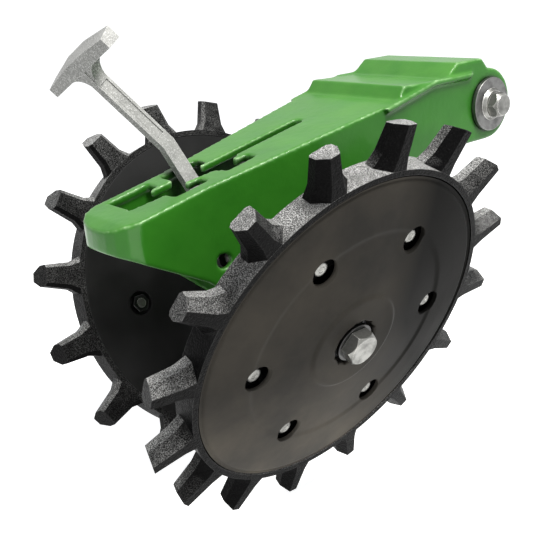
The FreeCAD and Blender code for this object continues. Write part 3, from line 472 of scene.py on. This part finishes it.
def cover_coating(name):
    """Satin dark coating with smears and a fine orange-peel, darkened by painted shade toward larger X and
    toward the top, which leaves a painted sheen low on the other side.
    """
    values = settings()
    material, graph, shader, place = new_material(name)
    smear = graph.noise(place, 16.0, 5.0, 0.6)
    fine = graph.noise(place, 950.0, 2.0, 0.6)
    scuff = graph.ramp(graph.noise(place, 300.0, 6.0, 0.72), 0.62, 0.78)
    colour = graph.mix(graph.ramp(smear, 0.35, 0.7), opaque(values.cover_deep), opaque(values.cover_light))
    # Painted shade: darker toward larger X and toward the top, which leaves a painted sheen low on the
    # side of smaller X; it turns with the wheel.
    across = graph.add("ShaderNodeSeparateXYZ", {"Vector": place})
    painted_shade = graph.math("ADD", graph.ramp(across.outputs["X"], -0.205, -0.09, 0.0, 0.92),
                      graph.ramp(across.outputs["Z"], -0.26, -0.13, 0.0, 0.68), True)
    colour = graph.mix(painted_shade, colour, (0.006, 0.006, 0.0055, 1))
    colour = graph.mix(graph.math("MULTIPLY", scuff, 0.2), colour, (0.06, 0.058, 0.053, 1))
    # Painted shade in the holes and the recess.
    colour = graph.mix(hollow_shade_mask(graph, 0.004, 0.85, 0.55), colour, (0.001, 0.001, 0.001, 1))
    graph.feed(shader.inputs["Base Color"], colour)
    graph.feed(shader.inputs["Roughness"], graph.ramp(smear, 0.3, 0.75, 0.33, 0.46))
    shader.inputs["Specular IOR Level"].default_value = 0.015
    shader.inputs["Specular Tint"].default_value = (1.0, 0.93, 0.84, 1)
    bump(graph, shader, graph.math("ADD", graph.math("MULTIPLY", fine, 0.6), smear), 0.05)
    return material


def green_paint(name):
    """Gloss paint over a cast skin, with painted highlights on the corners that look up, dusty tops that
    are partly painted light, and painted shade in its slots.
    """
    values = settings()
    material, graph, shader, place = new_material(name)
    grain = use_group(graph, "grain", {"Vector": place, "Grain Size": 2.3, "Pits": 0.2})
    dusty_top_light = use_group(graph, "dusty_top_light", {"Vector": place, "Amount": 0.5})
    tone = graph.ramp(graph.noise(place, 22.0, 4.0), 0.3, 0.7)
    colour = graph.mix(tone, opaque(values.paint_deep), opaque(values.paint_light))
    up = upward(graph)
    # Painted highlights: broken light lines along the corners that look up.
    painted_edge_highlight = graph.math("MULTIPLY", graph.ramp(up, -0.1, 0.55, 0.1, 0.9),
                        graph.ramp(graph.noise(place, 160.0, 3.0), 0.36, 0.6, 0.3, 1.0))
    colour = graph.mix(graph.math("MULTIPLY", edge_mask(graph, 0.12, 0.4), painted_edge_highlight),
                       colour, (0.45, 0.70, 0.37, 1))
    # Dusty tops, partly painted light: a lighter green where faces look up.
    colour = graph.mix(dusty_top_light.outputs["Mask"], colour, (0.115, 0.30, 0.052, 1))
    # Painted shade inside slots and hollows.
    colour = graph.mix(hollow_shade_mask(graph, 0.035, 0.84, 0.56), colour, (0.003, 0.012, 0.002, 1))
    graph.feed(shader.inputs["Base Color"], colour)
    graph.feed(shader.inputs["Roughness"], graph.ramp(dusty_top_light.outputs["Mask"], 0.0, 0.5, 0.3, 0.46))
    shader.inputs["Specular IOR Level"].default_value = 0.2
    shader.inputs["Coat Weight"].default_value = 0.15
    shader.inputs["Coat Roughness"].default_value = 0.12
    bump(graph, shader, grain.outputs["Height"], 0.28)
    return material


def steel(name, tint, roughness, stain, depth_mm=0.06, grain=900.0, corner=1.6):
    """Bare or plated steel, stained in patches, with painted highlights along its corners."""
    material, graph, shader, place = new_material(name)
    worked = use_group(graph, "brushed", {"Vector": place, "Scale": grain})
    dark = opaque(channel * stain for channel in tint)
    painted_highlight_tint = opaque(min(0.9, channel * corner) for channel in tint)
    colour = graph.mix(worked.outputs["Stain"], opaque(tint), dark)
    # Painted highlights along the corners, lighter than the tint by the factor corner.
    colour = graph.mix(corner_highlight_mask(graph, 0.0011, 0.04, 0.25), colour, painted_highlight_tint)
    graph.feed(shader.inputs["Base Color"], colour)
    graph.feed(shader.inputs["Roughness"],
               graph.ramp(worked.outputs["Stain"], 0.0, 1.0, roughness, roughness + 0.14))
    shader.inputs["Metallic"].default_value = 1.0
    bump(graph, shader, worked.outputs["Height"], depth_mm)
    return material


def lever_casting(name):
    """Plated casting: pale and grainy, with painted highlights on the corners and painted shade in the
    hollows and on faces that do not look up.
    """
    values = settings()
    material, graph, shader, place = new_material(name)
    grain = use_group(graph, "grain", {"Vector": place, "Grain Size": 0.6, "Pits": 0.5})
    cloud = graph.ramp(graph.noise(place, 60.0, 4.0), 0.35, 0.7)
    up = upward(graph)
    colour = graph.mix(cloud, opaque(values.lever_deep), opaque(values.lever_light))
    # Painted shade on faces that do not look up.
    colour = graph.mix(graph.ramp(up, -0.2, 0.35, 0.6, 0.0), colour, (0.12, 0.121, 0.114, 1))
    colour = graph.mix(grain.outputs["Speck"], colour, (0.52, 0.522, 0.51, 1))
    # Painted shade in the hollows.
    colour = graph.mix(hollow_shade_mask(graph, 0.004, 0.9, 0.45), colour, (0.10, 0.10, 0.094, 1))
    # Painted highlights along the corners.
    colour = graph.mix(corner_highlight_mask(graph, 0.0009, 0.05, 0.3), colour, (0.62, 0.62, 0.60, 1))
    graph.feed(shader.inputs["Base Color"], colour)
    graph.feed(shader.inputs["Roughness"], graph.ramp(grain.outputs["Height"], 0.3, 1.0, 0.56, 0.4))
    shader.inputs["Metallic"].default_value = 0.2
    bump(graph, shader, grain.outputs["Height"], 0.35)
    return material


def black_plate(name):
    """Black coated sheet, a little cloudy."""
    material, graph, shader, place = new_material(name)
    cloud = graph.noise(place, 26.0, 4.0)
    fine = graph.noise(place, 600.0, 3.0, 0.65)
    colour = graph.mix(graph.ramp(cloud, 0.35, 0.7), (0.004, 0.004, 0.004, 1), (0.009, 0.009, 0.009, 1))
    graph.feed(shader.inputs["Base Color"], colour)
    graph.feed(shader.inputs["Roughness"], graph.ramp(cloud, 0.3, 0.75, 0.42, 0.58))
    shader.inputs["Specular IOR Level"].default_value = 0.24
    bump(graph, shader, graph.math("ADD", fine, cloud), 0.06)
    return material


def moulded_rubber(name):
    """Dull black rubber with a fine grain."""
    material, graph, shader, place = new_material(name)
    fine = graph.noise(place, 1400.0, 3.0, 0.6)
    colour = graph.mix(fine, (0.008, 0.008, 0.008, 1), (0.02, 0.019, 0.018, 1))
    graph.feed(shader.inputs["Base Color"], colour)
    graph.feed(shader.inputs["Roughness"], graph.ramp(fine, 0.3, 0.8, 0.55, 0.75))
    bump(graph, shader, fine, 0.05)
    return material


MATERIALS = {}


def make_materials():
    """Makes one finish for each material slot, and one for oiled fasteners."""
    MATERIALS.update({
        "green_paint": green_paint("Green Paint"),
        "cast_black": black_casting("Black Casting"),
        "cover_grey": cover_coating("Cover Coating"),
        "plate_black": black_plate("Black Plate"),
        "zinc_steel": steel("Zinc Plate", settings().zinc_colour, 0.34, 0.55, 0.2, 1500.0, 2.8),
        "bearing_steel": steel("Bearing Steel", (0.60, 0.60, 0.61), 0.18, 0.85, 0.02),
        "seal_rubber": moulded_rubber("Seal Rubber"),
        "spring_steel": steel("Spring Steel", (0.16, 0.16, 0.17), 0.34, 0.6),
        "oiled_steel": steel("Oiled Steel", (0.055, 0.055, 0.055), 0.3, 0.7),
        "lever_iron": lever_casting("Lever Casting"),
        "washer_black": steel("Zinc Washer", (0.20, 0.20, 0.195), 0.36, 0.6, 0.2, 1500.0, 2.6),
    })


# Mesh work


def link(name, mesh):
    """Puts a new object in the scene."""
    piece = bpy.data.objects.new(name, mesh)
    bpy.context.scene.collection.objects.link(piece)
    return piece


def slot_of(node_name):
    """The material slot that the record gives a node."""
    for entry in frame["record"]["subparts"]:
        if entry["node"] == node_name:
            return entry["material_slot"]
    raise KeyError(node_name)


def body_of(node_name):
    """The moving body that a node belongs to."""
    return frame["nodes"][node_name]["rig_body"]


def dress(piece, node_name, finish=None):
    """Gives a new piece the finish, the place and the motion of the node it stands for."""
    slot = slot_of(node_name)
    piece.data.materials.clear()
    piece.data.materials.append(MATERIALS[finish or slot])
    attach(piece, body_of(node_name))
    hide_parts(node_name)
    return piece


def applied(piece):
    """Turns a piece's modifiers into its mesh."""
    graph = bpy.context.evaluated_depsgraph_get()
    mesh = bpy.data.meshes.new_from_object(piece.evaluated_get(graph))
    old = piece.data
    piece.modifiers.clear()
    piece.data = mesh
    bpy.data.meshes.remove(old)
    return piece


def copy_of(node_name, name):
    """A new piece with a solid's mesh, its doubled points and needless edges gone."""
    mesh = frame["nodes"][node_name].data.copy()
    mesh.materials.clear()
    shape = bmesh.new()
    shape.from_mesh(mesh)
    bmesh.ops.remove_doubles(shape, verts=shape.verts, dist=0.00001)
    bmesh.ops.dissolve_limit(shape, angle_limit=math.radians(0.4), verts=shape.verts,
                             edges=shape.edges)
    clean = bpy.data.meshes.new(name)
    shape.to_mesh(clean)
    shape.free()
    bpy.data.meshes.remove(mesh)
    return link(name, clean)


def paint_edges(mesh, rounds=2):
    """Stores how sharply the surface bulges at each point, for the painted highlights along edges."""
    count = len(mesh.vertices)
    places = np.empty(count * 3)
    normals = np.empty(count * 3)
    ends = np.empty(len(mesh.edges) * 2, dtype=np.int64)
    mesh.vertices.foreach_get("co", places)
    mesh.vertices.foreach_get("normal", normals)
    mesh.edges.foreach_get("vertices", ends)
    places, normals, ends = places.reshape(-1, 3), normals.reshape(-1, 3), ends.reshape(-1, 2)
    first, second = ends[:, 0], ends[:, 1]
    run = places[second] - places[first]
    run /= np.maximum(np.linalg.norm(run, axis=1), 1e-9)[:, None]
    total = np.bincount(first, -(run * normals[first]).sum(1), count)
    total += np.bincount(second, (run * normals[second]).sum(1), count)
    shares = np.bincount(first, minlength=count) + np.bincount(second, minlength=count)
    bulge = total / np.maximum(shares, 1)
    for _ in range(rounds):
        spread = np.bincount(first, bulge[second], count) + np.bincount(second, bulge[first], count)
        bulge = 0.5 * bulge + 0.5 * spread / np.maximum(shares, 1)
    layer = mesh.attributes.new("edge", "FLOAT", "POINT")
    layer.data.foreach_set("value", np.clip(bulge * 2.2, 0, 1).astype(np.float32))


def cast_piece(node_name, name, voxel, swell):
    """A casting: its solid with every corner rounded and its faces slightly uneven."""
    piece = copy_of(node_name, name)
    remesh = piece.modifiers.new("skin", "REMESH")
    remesh.mode = "VOXEL"
    remesh.voxel_size = voxel
    remesh.adaptivity = 0.0
    soften = piece.modifiers.new("soften", "SMOOTH")
    soften.factor = 0.5
    soften.iterations = CAST_SMOOTHING
    if swell > 0:
        clouds = bpy.data.textures.new(name + "_swell", "CLOUDS")
        clouds.noise_scale = SWELL_SIZE
        clouds.noise_depth = 2
        uneven = piece.modifiers.new("uneven", "DISPLACE")
        uneven.texture = clouds
        uneven.texture_coords = "LOCAL"
        uneven.strength = swell
        uneven.mid_level = 0.55
    thin = piece.modifiers.new("thin", "DECIMATE")
    thin.ratio = CAST_KEEP
    applied(piece)
    piece.data.shade_smooth()
    paint_edges(piece.data)
    return dress(piece, node_name)


def machined_piece(node_name, name, corner, segments=2, finish=None):
    """A turned or pressed piece: its solid with small rounded corners and flat faces kept flat."""
    piece = copy_of(node_name, name)
    piece.data.shade_smooth()
    rounding = piece.modifiers.new("corners", "BEVEL")
    rounding.width = corner
    rounding.segments = segments
    rounding.limit_method = "ANGLE"
    rounding.angle_limit = math.radians(32)
    rounding.use_clamp_overlap = True
    flats = piece.modifiers.new("flats", "WEIGHTED_NORMAL")
    flats.weight = 100
    applied(piece)
    return dress(piece, node_name, finish)


def joint_named(name):
    """A joint of the frame by its name."""
    return next(joint for joint in frame["joints"] if joint["name"] == name)


def wheel_matrix(side):
    """Carries a wheel drawn about Z to its place on the arm, as the solids are turned."""
    joint = joint_named(side + "_wheel_spin")
    outward = Vector(joint["axis"])
    turn = math.atan2(-outward.y, outward.z)
    return Matrix.Translation(joint["pos_m"]) @ Matrix.Rotation(turn, 4, "X")


def bolt_phase(side):
    """The angle of the first cover bolt, read from its solids."""
    node = frame["nodes"][side + "_plate_bolts"]
    back = wheel_matrix(side).inverted()
    step = 360.0 / settings().hole_count
    places = [back @ vertex.co for vertex in node.data.vertices]
    centres = [math.degrees(math.atan2(place.y, place.x)) % step for place in places]
    angles = np.radians(np.array(centres) * 360.0 / step)
    mean = math.degrees(math.atan2(np.sin(angles).mean(), np.cos(angles).mean()))
    return math.radians(mean * step / 360.0)


def rounded_profile(corners, step, rounds):
    """Divides a run of straight lines evenly and eases its corners."""
    places = [np.array(corner, dtype=float) for corner in corners]
    line = []
    for start, end in zip(places, places[1:]):
        parts = max(1, int(round(np.linalg.norm(end - start) / step)))
        line.extend(start + (end - start) * index / parts for index in range(parts))
    line.append(places[-1])
    line = np.array(line)
    for _ in range(rounds):
        line[1:-1] = 0.25 * line[:-2] + 0.5 * line[1:-1] + 0.25 * line[2:]
    return line


def dished_cover(side):
    """The pressed cover: a shallow dish with a lip, a step, a boss and a fluted recess."""
    values = settings()
    top = rounded_profile(COVER_FACE, 0.9, 2)
    inner = rounded_profile(COVER_BACK, 4.0, 1)
    profile = np.vstack([top, inner])
    around = values.flutes * 24
    shape = bmesh.new()
    rings = []
    for radius, height in profile:
        ring = []
        for index in range(around):
            angle = 2 * math.pi * index / around
            wave = max(0.0, math.cos(values.flutes * angle)) ** 2
            share = max(0.0, 1.0 - abs(radius - FLUTE_RADIUS) / FLUTE_WIDTH)
            spread = radius
            if height > FLUTE_FLOOR:
                spread += FLUTE_DEPTH * share * wave
            ring.append(shape.verts.new(
                (spread * math.cos(angle) * MM, spread * math.sin(angle) * MM, height * MM)))
        rings.append(ring)
    for number in range(len(rings)):
        near, far = rings[number], rings[(number + 1) % len(rings)]
        for index in range(around):
            after = (index + 1) % around
            shape.faces.new((near[index], near[after], far[after], far[index]))
    bmesh.ops.recalc_face_normals(shape, faces=shape.faces)
    mesh = bpy.data.meshes.new(side + "_dished_cover")
    shape.to_mesh(mesh)
    shape.free()
    piece = link(side + "_dished_cover", mesh)
    cutter = hole_cutter(side)
    cut = piece.modifiers.new("holes", "BOOLEAN")
    cut.operation = "DIFFERENCE"
    cut.solver = "EXACT"
    cut.object = cutter
    applied(piece)
    bpy.data.objects.remove(cutter)
    piece.data.transform(wheel_matrix(side))
    piece.data.shade_smooth()
    piece.data.set_sharp_from_angle(angle=math.radians(40))
    return dress(piece, side + "_outer_cover")


def hole_cutter(side):
    """Flared plugs that leave a rolled edge on each hole of the cover."""
    values = settings()
    shape = bmesh.new()
    phase = bolt_phase(side)
    for number in range(values.hole_count):
        angle = phase + 2 * math.pi * number / values.hole_count
        centre = Vector((math.cos(angle), math.sin(angle), 0)) * values.hole_circle
        rings = []
        for height, flare in HOLE_FLARE:
            radius = values.hole_radius + flare * MM
            level = (HOLE_LEVEL + height) * MM
            rings.append([])
            for index in range(HOLE_SIDES):
                turn = 2 * math.pi * index / HOLE_SIDES
                place = Vector((radius * math.cos(turn), radius * math.sin(turn), level))
                rings[-1].append(shape.verts.new(centre + place))
        for low, high in zip(rings, rings[1:]):
            for index in range(HOLE_SIDES):
                after = (index + 1) % HOLE_SIDES
                shape.faces.new((low[index], low[after], high[after], high[index]))
        shape.faces.new(list(reversed(rings[0])))
        shape.faces.new(rings[-1])
    bmesh.ops.recalc_face_normals(shape, faces=shape.faces)
    mesh = bpy.data.meshes.new("hole_cutter")
    shape.to_mesh(mesh)
    shape.free()
    return link("hole_cutter", mesh)


def turned_mesh(name, profile, around=48):
    """A closed turned solid from (radius, height) corners that start and end on its axis."""
    shape = bmesh.new()
    rings = []
    for radius, height in profile:
        if radius <= 0:
            rings.append([shape.verts.new((0, 0, height * MM))])
            continue
        rings.append([shape.verts.new((
            radius * MM * math.cos(2 * math.pi * index / around),
            radius * MM * math.sin(2 * math.pi * index / around), height * MM))
            for index in range(around)])
    for near, far in zip(rings, rings[1:]):
        for index in range(around):
            after = (index + 1) % around
            corners = [near[index % len(near)], near[after % len(near)],
                       far[after % len(far)], far[index % len(far)]]
            unique = list(dict.fromkeys(corners))
            if len(unique) > 2:
                shape.faces.new(unique)
    bmesh.ops.recalc_face_normals(shape, faces=shape.faces)
    mesh = bpy.data.meshes.new(name)
    shape.to_mesh(mesh)
    shape.free()
    return mesh


# Geometry Nodes


def geometry_group(name, inputs):
    """A Geometry Nodes group with its sockets, and a Graph to fill it."""
    group = bpy.data.node_groups.new(name, "GeometryNodeTree")
    group.interface.new_socket("Geometry", in_out="INPUT", socket_type="NodeSocketGeometry")
    for label, kind, default in inputs:
        socket = group.interface.new_socket(label, in_out="INPUT", socket_type=kind)
        if default is not None:
            socket.default_value = default
    group.interface.new_socket("Geometry", in_out="OUTPUT", socket_type="NodeSocketGeometry")
    graph = Graph(group)
    return group, graph, graph.add("NodeGroupInput"), graph.add("NodeGroupOutput")


def ring_of_copies_group():
    """Repeats the incoming piece evenly round the Z axis."""
    group, graph, source, result = geometry_group("Ring of Copies", [
        ("Count", "NodeSocketInt", 6), ("Radius", "NodeSocketFloat", 0.084),
        ("First Angle", "NodeSocketFloat", 0.0), ("Material", "NodeSocketMaterial", None)])
    circle = graph.add("GeometryNodeMeshCircle", {
        "Vertices": source.outputs["Count"], "Radius": source.outputs["Radius"]})
    turn = graph.add("ShaderNodeCombineXYZ", {"Z": source.outputs["First Angle"]})
    turned = graph.add("GeometryNodeTransform", {
        "Geometry": circle.outputs["Mesh"], "Rotation": turn.outputs["Vector"]})
    copies = graph.add("GeometryNodeInstanceOnPoints", {
        "Points": turned.outputs["Geometry"], "Instance": source.outputs["Geometry"]})
    real = graph.add("GeometryNodeRealizeInstances", {"Geometry": copies.outputs["Instances"]})
    coat = graph.add("GeometryNodeSetMaterial", {
        "Geometry": real.outputs["Geometry"], "Material": source.outputs["Material"]})
    graph.feed(result.inputs["Geometry"], coat.outputs["Geometry"])
    return group


def wound_spring_group():
    """Winds round wire into a close helix along Z."""
    group, graph, source, result = geometry_group("Wound Spring", [
        ("Turns", "NodeSocketFloat", 40.0), ("Radius", "NodeSocketFloat", 0.0077),
        ("Length", "NodeSocketFloat", 0.14), ("Wire Radius", "NodeSocketFloat", 0.0018),
        ("Material", "NodeSocketMaterial", None)])
    resolution = graph.add("FunctionNodeInputInt")
    resolution.integer = 20
    helix = graph.add("GeometryNodeCurveSpiral", {
        "Resolution": resolution.outputs[0], "Rotations": source.outputs["Turns"],
        "Start Radius": source.outputs["Radius"], "End Radius": source.outputs["Radius"],
        "Height": source.outputs["Length"]})
    section = graph.add("GeometryNodeCurvePrimitiveCircle", {
        "Resolution": 8, "Radius": source.outputs["Wire Radius"]})
    wire = graph.add("GeometryNodeCurveToMesh", {
        "Curve": helix.outputs["Curve"], "Profile Curve": section.outputs["Curve"],
        "Fill Caps": True})
    both = graph.add("GeometryNodeJoinGeometry")
    graph.feed(both.inputs["Geometry"], wire.outputs["Mesh"])
    graph.feed(both.inputs["Geometry"], source.outputs["Geometry"])
    coat = graph.add("GeometryNodeSetMaterial", {
        "Geometry": both.outputs["Geometry"], "Material": source.outputs["Material"]})
    graph.feed(result.inputs["Geometry"], coat.outputs["Geometry"])
    return group


def run_nodes(piece, group, values):
    """Runs a Geometry Nodes group on a piece with named inputs, and keeps the result."""
    modifier = piece.modifiers.new(group.name, "NODES")
    modifier.node_group = group
    for item in group.interface.items_tree:
        if item.item_type == "SOCKET" and item.in_out == "INPUT" and item.name in values:
            modifier[item.identifier] = values[item.name]
    applied(piece)
    return piece


def cover_bolts(side):
    """The heads and shanks of a cover's bolts, with a dimple in each head."""
    values = settings()
    radius = values.bolt_radius / MM
    profile = [(0, -11.0), (3.9, -11.0), (3.9, 6.0), (radius, 6.05), (radius, 8.7),
               (radius - 0.35, 9.3), (radius - 1.0, 9.75), (radius - 1.8, 9.95), (2.6, 9.98),
               (2.2, 9.8), (1.9, 9.35), (0, 9.2)]
    piece = link(side + "_cover_bolts", turned_mesh(side + "_cover_bolt", profile, 36))
    piece.data.shade_smooth()
    run_nodes(piece, ring_of_copies_group(), {
        "Count": values.hole_count, "Radius": values.hole_circle,
        "First Angle": bolt_phase(side), "Material": MATERIALS["zinc_steel"]})
    piece.data.transform(wheel_matrix(side))
    piece.data.set_sharp_from_angle(angle=math.radians(45))
    return dress(piece, side + "_plate_bolts")


def hook_mesh(name, length, wire, coil):
    """The two end hooks of a spring that is wound along Z from the origin."""
    places = []
    for end in (-1, 1):
        base = 0.0 if end < 0 else length
        centre = base + end * SPRING_REACH
        run = [Vector((coil, 0, base)), Vector((coil * 0.55, 0, base + end * wire * 1.4)),
               Vector((0, 0, base + end * wire * 3.2))]
        start = centre - end * HOOK_RADIUS
        run.append(Vector((0, 0, start - end * 0.5)))
        for index in range(1, 20):
            angle = math.radians(index * 15)
            run.append(Vector((HOOK_RADIUS * math.sin(angle), 0,
                               centre - end * HOOK_RADIUS * math.cos(angle))))
        places.append(run)
    curve = bpy.data.curves.new(name, "CURVE")
    curve.dimensions = "3D"
    curve.bevel_depth = wire * MM
    curve.bevel_resolution = 3
    curve.use_fill_caps = True
    for run in places:
        spline = curve.splines.new("NURBS")
        spline.points.add(len(run) - 1)
        for point, place in zip(spline.points, run):
            point.co = (place.x * MM, place.y * MM, place.z * MM, 1)
        spline.order_u = 3
        spline.use_endpoint_u = True
    holder = link(name, curve)
    graph = bpy.context.evaluated_depsgraph_get()
    mesh = bpy.data.meshes.new_from_object(holder.evaluated_get(graph))
    bpy.data.objects.remove(holder)
    bpy.data.curves.remove(curve)
    return mesh


def wound_spring(side):
    """An extension spring from the yoke's bar to the planter's anchor."""
    values = settings()
    low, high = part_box("spring_bar")
    bar = (low + high) / 2
    anchor = next(Vector(mount["pos_m"]) for mount in frame["record"]["mounts"]
                  if mount["name"] == side + "_spring_anchor")
    bar.y = anchor.y
    along = anchor - bar
    length = along.length / MM - 2 * SPRING_REACH
    mesh = hook_mesh(side + "_spring_hooks", length, values.spring_wire / MM,
                     values.spring_radius / MM)
    piece = link(side + "_wound_spring", mesh)
    run_nodes(piece, wound_spring_group(), {
        "Turns": float(values.spring_turns), "Radius": values.spring_radius,
        "Length": length * MM, "Wire Radius": values.spring_wire,
        "Material": MATERIALS["spring_steel"]})
    turn = Vector((0, 0, 1)).rotation_difference(along.normalized()).to_matrix().to_4x4()
    start = bar + along.normalized() * SPRING_REACH * MM
    piece.data.transform(Matrix.Translation(start) @ turn)
    piece.data.shade_smooth()
    piece.data.materials.clear()
    piece.data.materials.append(MATERIALS["spring_steel"])
    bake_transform(piece)
    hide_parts(side + "_spring")
    return piece


# Operators


class BuildMaterials(Operator):
    """Makes the finishes and gives one to every solid."""

    bl_idname = "closing_wheel.materials"
    bl_label = "Finishes"

    def execute(self, context):
        make_materials()
        for name, node in frame["nodes"].items():
            node.data.materials.clear()
            node.data.materials.append(MATERIALS[slot_of(name)])
        return {"FINISHED"}


class BuildRings(Operator):
    """Dresses both spiked rings."""

    bl_idname = "closing_wheel.rings"
    bl_label = "Spiked rings"

    def execute(self, context):
        for side in SIDES:
            machined_piece(side + "_spike_ring", side + "_spiked_casting", settings().ring_corner, 2)
        return {"FINISHED"}


class BuildCovers(Operator):
    """Draws both dished covers and their bolts."""

    bl_idname = "closing_wheel.covers"
    bl_label = "Covers and their bolts"

    def execute(self, context):
        for side in SIDES:
            dished_cover(side)
            cover_bolts(side)
        return {"FINISHED"}


class BuildArm(Operator):
    """Dresses the arm with its cast and painted skin."""

    bl_idname = "closing_wheel.arm"
    bl_label = "Arm casting"

    def execute(self, context):
        values = settings()
        cast_piece("arm_casting", "painted_arm", values.arm_voxel, values.cast_swell)
        return {"FINISHED"}


class BuildLever(Operator):
    """Dresses the lever and its yoke."""

    bl_idname = "closing_wheel.lever"
    bl_label = "Lever and yoke"

    def execute(self, context):
        values = settings()
        machined_piece("lever", "cast_lever", values.lever_corner, 3)
        machined_piece("lever_yoke", "cast_yoke", values.lever_corner, 2)
        return {"FINISHED"}


class BuildHardware(Operator):
    """Dresses bolts, nuts, washers, spacers, plates, pins and rods."""

    bl_idname = "closing_wheel.hardware"
    bl_label = "Turned and pressed pieces"

    def execute(self, context):
        for side in SIDES:
            for solid, piece, corner, segments, finish in SIDE_HARDWARE:
                machined_piece(side + "_" + solid, side + "_" + piece, corner * MM, segments, finish)
        for solid, piece, corner, segments in ROD_HARDWARE:
            machined_piece(solid, piece, corner * MM, segments)
        return {"FINISHED"}


class BuildSprings(Operator):
    """Winds both springs between the yoke's bar and their anchors."""

    bl_idname = "closing_wheel.springs"
    bl_label = "Springs"

    def execute(self, context):
        for side in SIDES:
            wound_spring(side)
        return {"FINISHED"}


def area_light(name, place, target, size, power, tint):
    """A round lamp that looks at a point."""
    data = bpy.data.lights.new(name, "AREA")
    data.shape = "DISK"
    data.size = size
    data.energy = power
    data.color = tint
    lamp = link(name, data)
    lamp.location = place
    lamp.rotation_euler = (Vector(target) - Vector(place)).to_track_quat("-Z", "Y").to_euler()


def shown_rays(graph):
    """One for rays from the camera, a mirror or a clear piece, and else zero."""
    path = graph.add("ShaderNodeLightPath")
    direct = graph.math("MAXIMUM", path.outputs["Is Camera Ray"], path.outputs["Is Glossy Ray"])
    return graph.math("MAXIMUM", direct, path.outputs["Is Transmission Ray"])


def white_world():
    """White behind the object, with softer grey light falling on it."""
    world = bpy.data.worlds.new("Studio")
    world.use_nodes = True
    world.node_tree.nodes.clear()
    graph = Graph(world.node_tree)
    result = graph.add("ShaderNodeOutputWorld")
    seen = shown_rays(graph)
    soft = graph.add("ShaderNodeBackground", {"Color": (0.94, 0.96, 1.0, 1), "Strength": SOFT_WORLD})
    plain = graph.add("ShaderNodeBackground", {"Color": (1, 1, 1, 1), "Strength": 1.0})
    blend = graph.add("ShaderNodeMixShader")
    graph.feed(blend.inputs[0], seen)
    graph.feed(blend.inputs[1], soft.outputs[0])
    graph.feed(blend.inputs[2], plain.outputs[0])
    graph.feed(result.inputs["Surface"], blend.outputs[0])
    bpy.context.scene.world = world


def pale_floor(level):
    """A floor that reads as white paper where nothing shades it."""
    material, graph, shader, _ = new_material("Pale Floor")
    shader.inputs["Base Color"].default_value = (0.9, 0.9, 0.9, 1)
    shader.inputs["Roughness"].default_value = 1.0
    shader.inputs["Specular IOR Level"].default_value = 0.0
    shader.inputs["Emission Color"].default_value = (1, 1, 1, 1)
    glow = graph.math("MULTIPLY", shown_rays(graph), FLOOR_GLOW)
    graph.feed(shader.inputs["Emission Strength"], glow)
    shape = bmesh.new()
    bmesh.ops.create_circle(shape, cap_ends=True, segments=96, radius=FLOOR_RADIUS)
    bmesh.ops.translate(shape, verts=shape.verts, vec=(-0.2, 0, level))
    mesh = bpy.data.meshes.new("pale_floor")
    shape.to_mesh(mesh)
    shape.free()
    mesh.materials.append(material)
    link("pale_floor", mesh)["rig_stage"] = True


class BuildStage(Operator):
    """Lays the floor, hangs the lamps and sets the camera."""

    bl_idname = "closing_wheel.stage"
    bl_label = "Floor, light and camera"

    def execute(self, context):
        scene = context.scene
        scene.view_settings.view_transform = "Standard"
        low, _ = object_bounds()
        pale_floor(low[2] - FLOOR_GAP)
        white_world()
        for name, place, aim, size, tint in LAMPS:
            area_light(name, place, aim, size, getattr(settings(), name), tint)
        data = bpy.data.cameras.new("photo_view")
        data.sensor_width = CAMERA_SENSOR
        data.lens = CAMERA_LENS
        data.dof.use_dof = False
        camera = link("photo_view", data)
        axes = (Vector(CAMERA_RIGHT), -Vector(CAMERA_DOWN), -Vector(CAMERA_AHEAD))
        turn = Matrix(axes).transposed().to_4x4()
        camera.matrix_world = Matrix.Translation(CAMERA_PLACE) @ turn
        scene.camera = camera
        return {"FINISHED"}


class ClosingWheelPanel(Panel):
    """Lists the settings and the steps."""

    bl_idname = "VIEW3D_PT_closing_wheel"
    bl_label = "Closing Wheel"
    bl_space_type = "VIEW_3D"
    bl_region_type = "UI"
    bl_category = "Closing Wheel"

    def draw(self, context):
        for name in ClosingWheelSettings.__annotations__:
            self.layout.prop(context.scene.closing_wheel, name)
        for operator in STEPS:
            self.layout.operator(operator.bl_idname)


STEPS = (BuildMaterials, BuildRings, BuildCovers, BuildArm, BuildLever, BuildHardware,
         BuildSprings, BuildStage)
CLASSES = (ClosingWheelSettings,) + STEPS + (ClosingWheelPanel,)


def register():
    for kind in CLASSES:
        bpy.utils.register_class(kind)
    bpy.types.Scene.closing_wheel = PointerProperty(type=ClosingWheelSettings)


def unregister():
    del bpy.types.Scene.closing_wheel
    for kind in reversed(CLASSES):
        bpy.utils.unregister_class(kind)


def main():
    """Dresses the whole assembly."""
    register()
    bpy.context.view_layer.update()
    for step in STEPS:
        family, name = step.bl_idname.split(".")
        getattr(getattr(bpy.ops, family), name)()


if __name__ == "__main__":
    main()
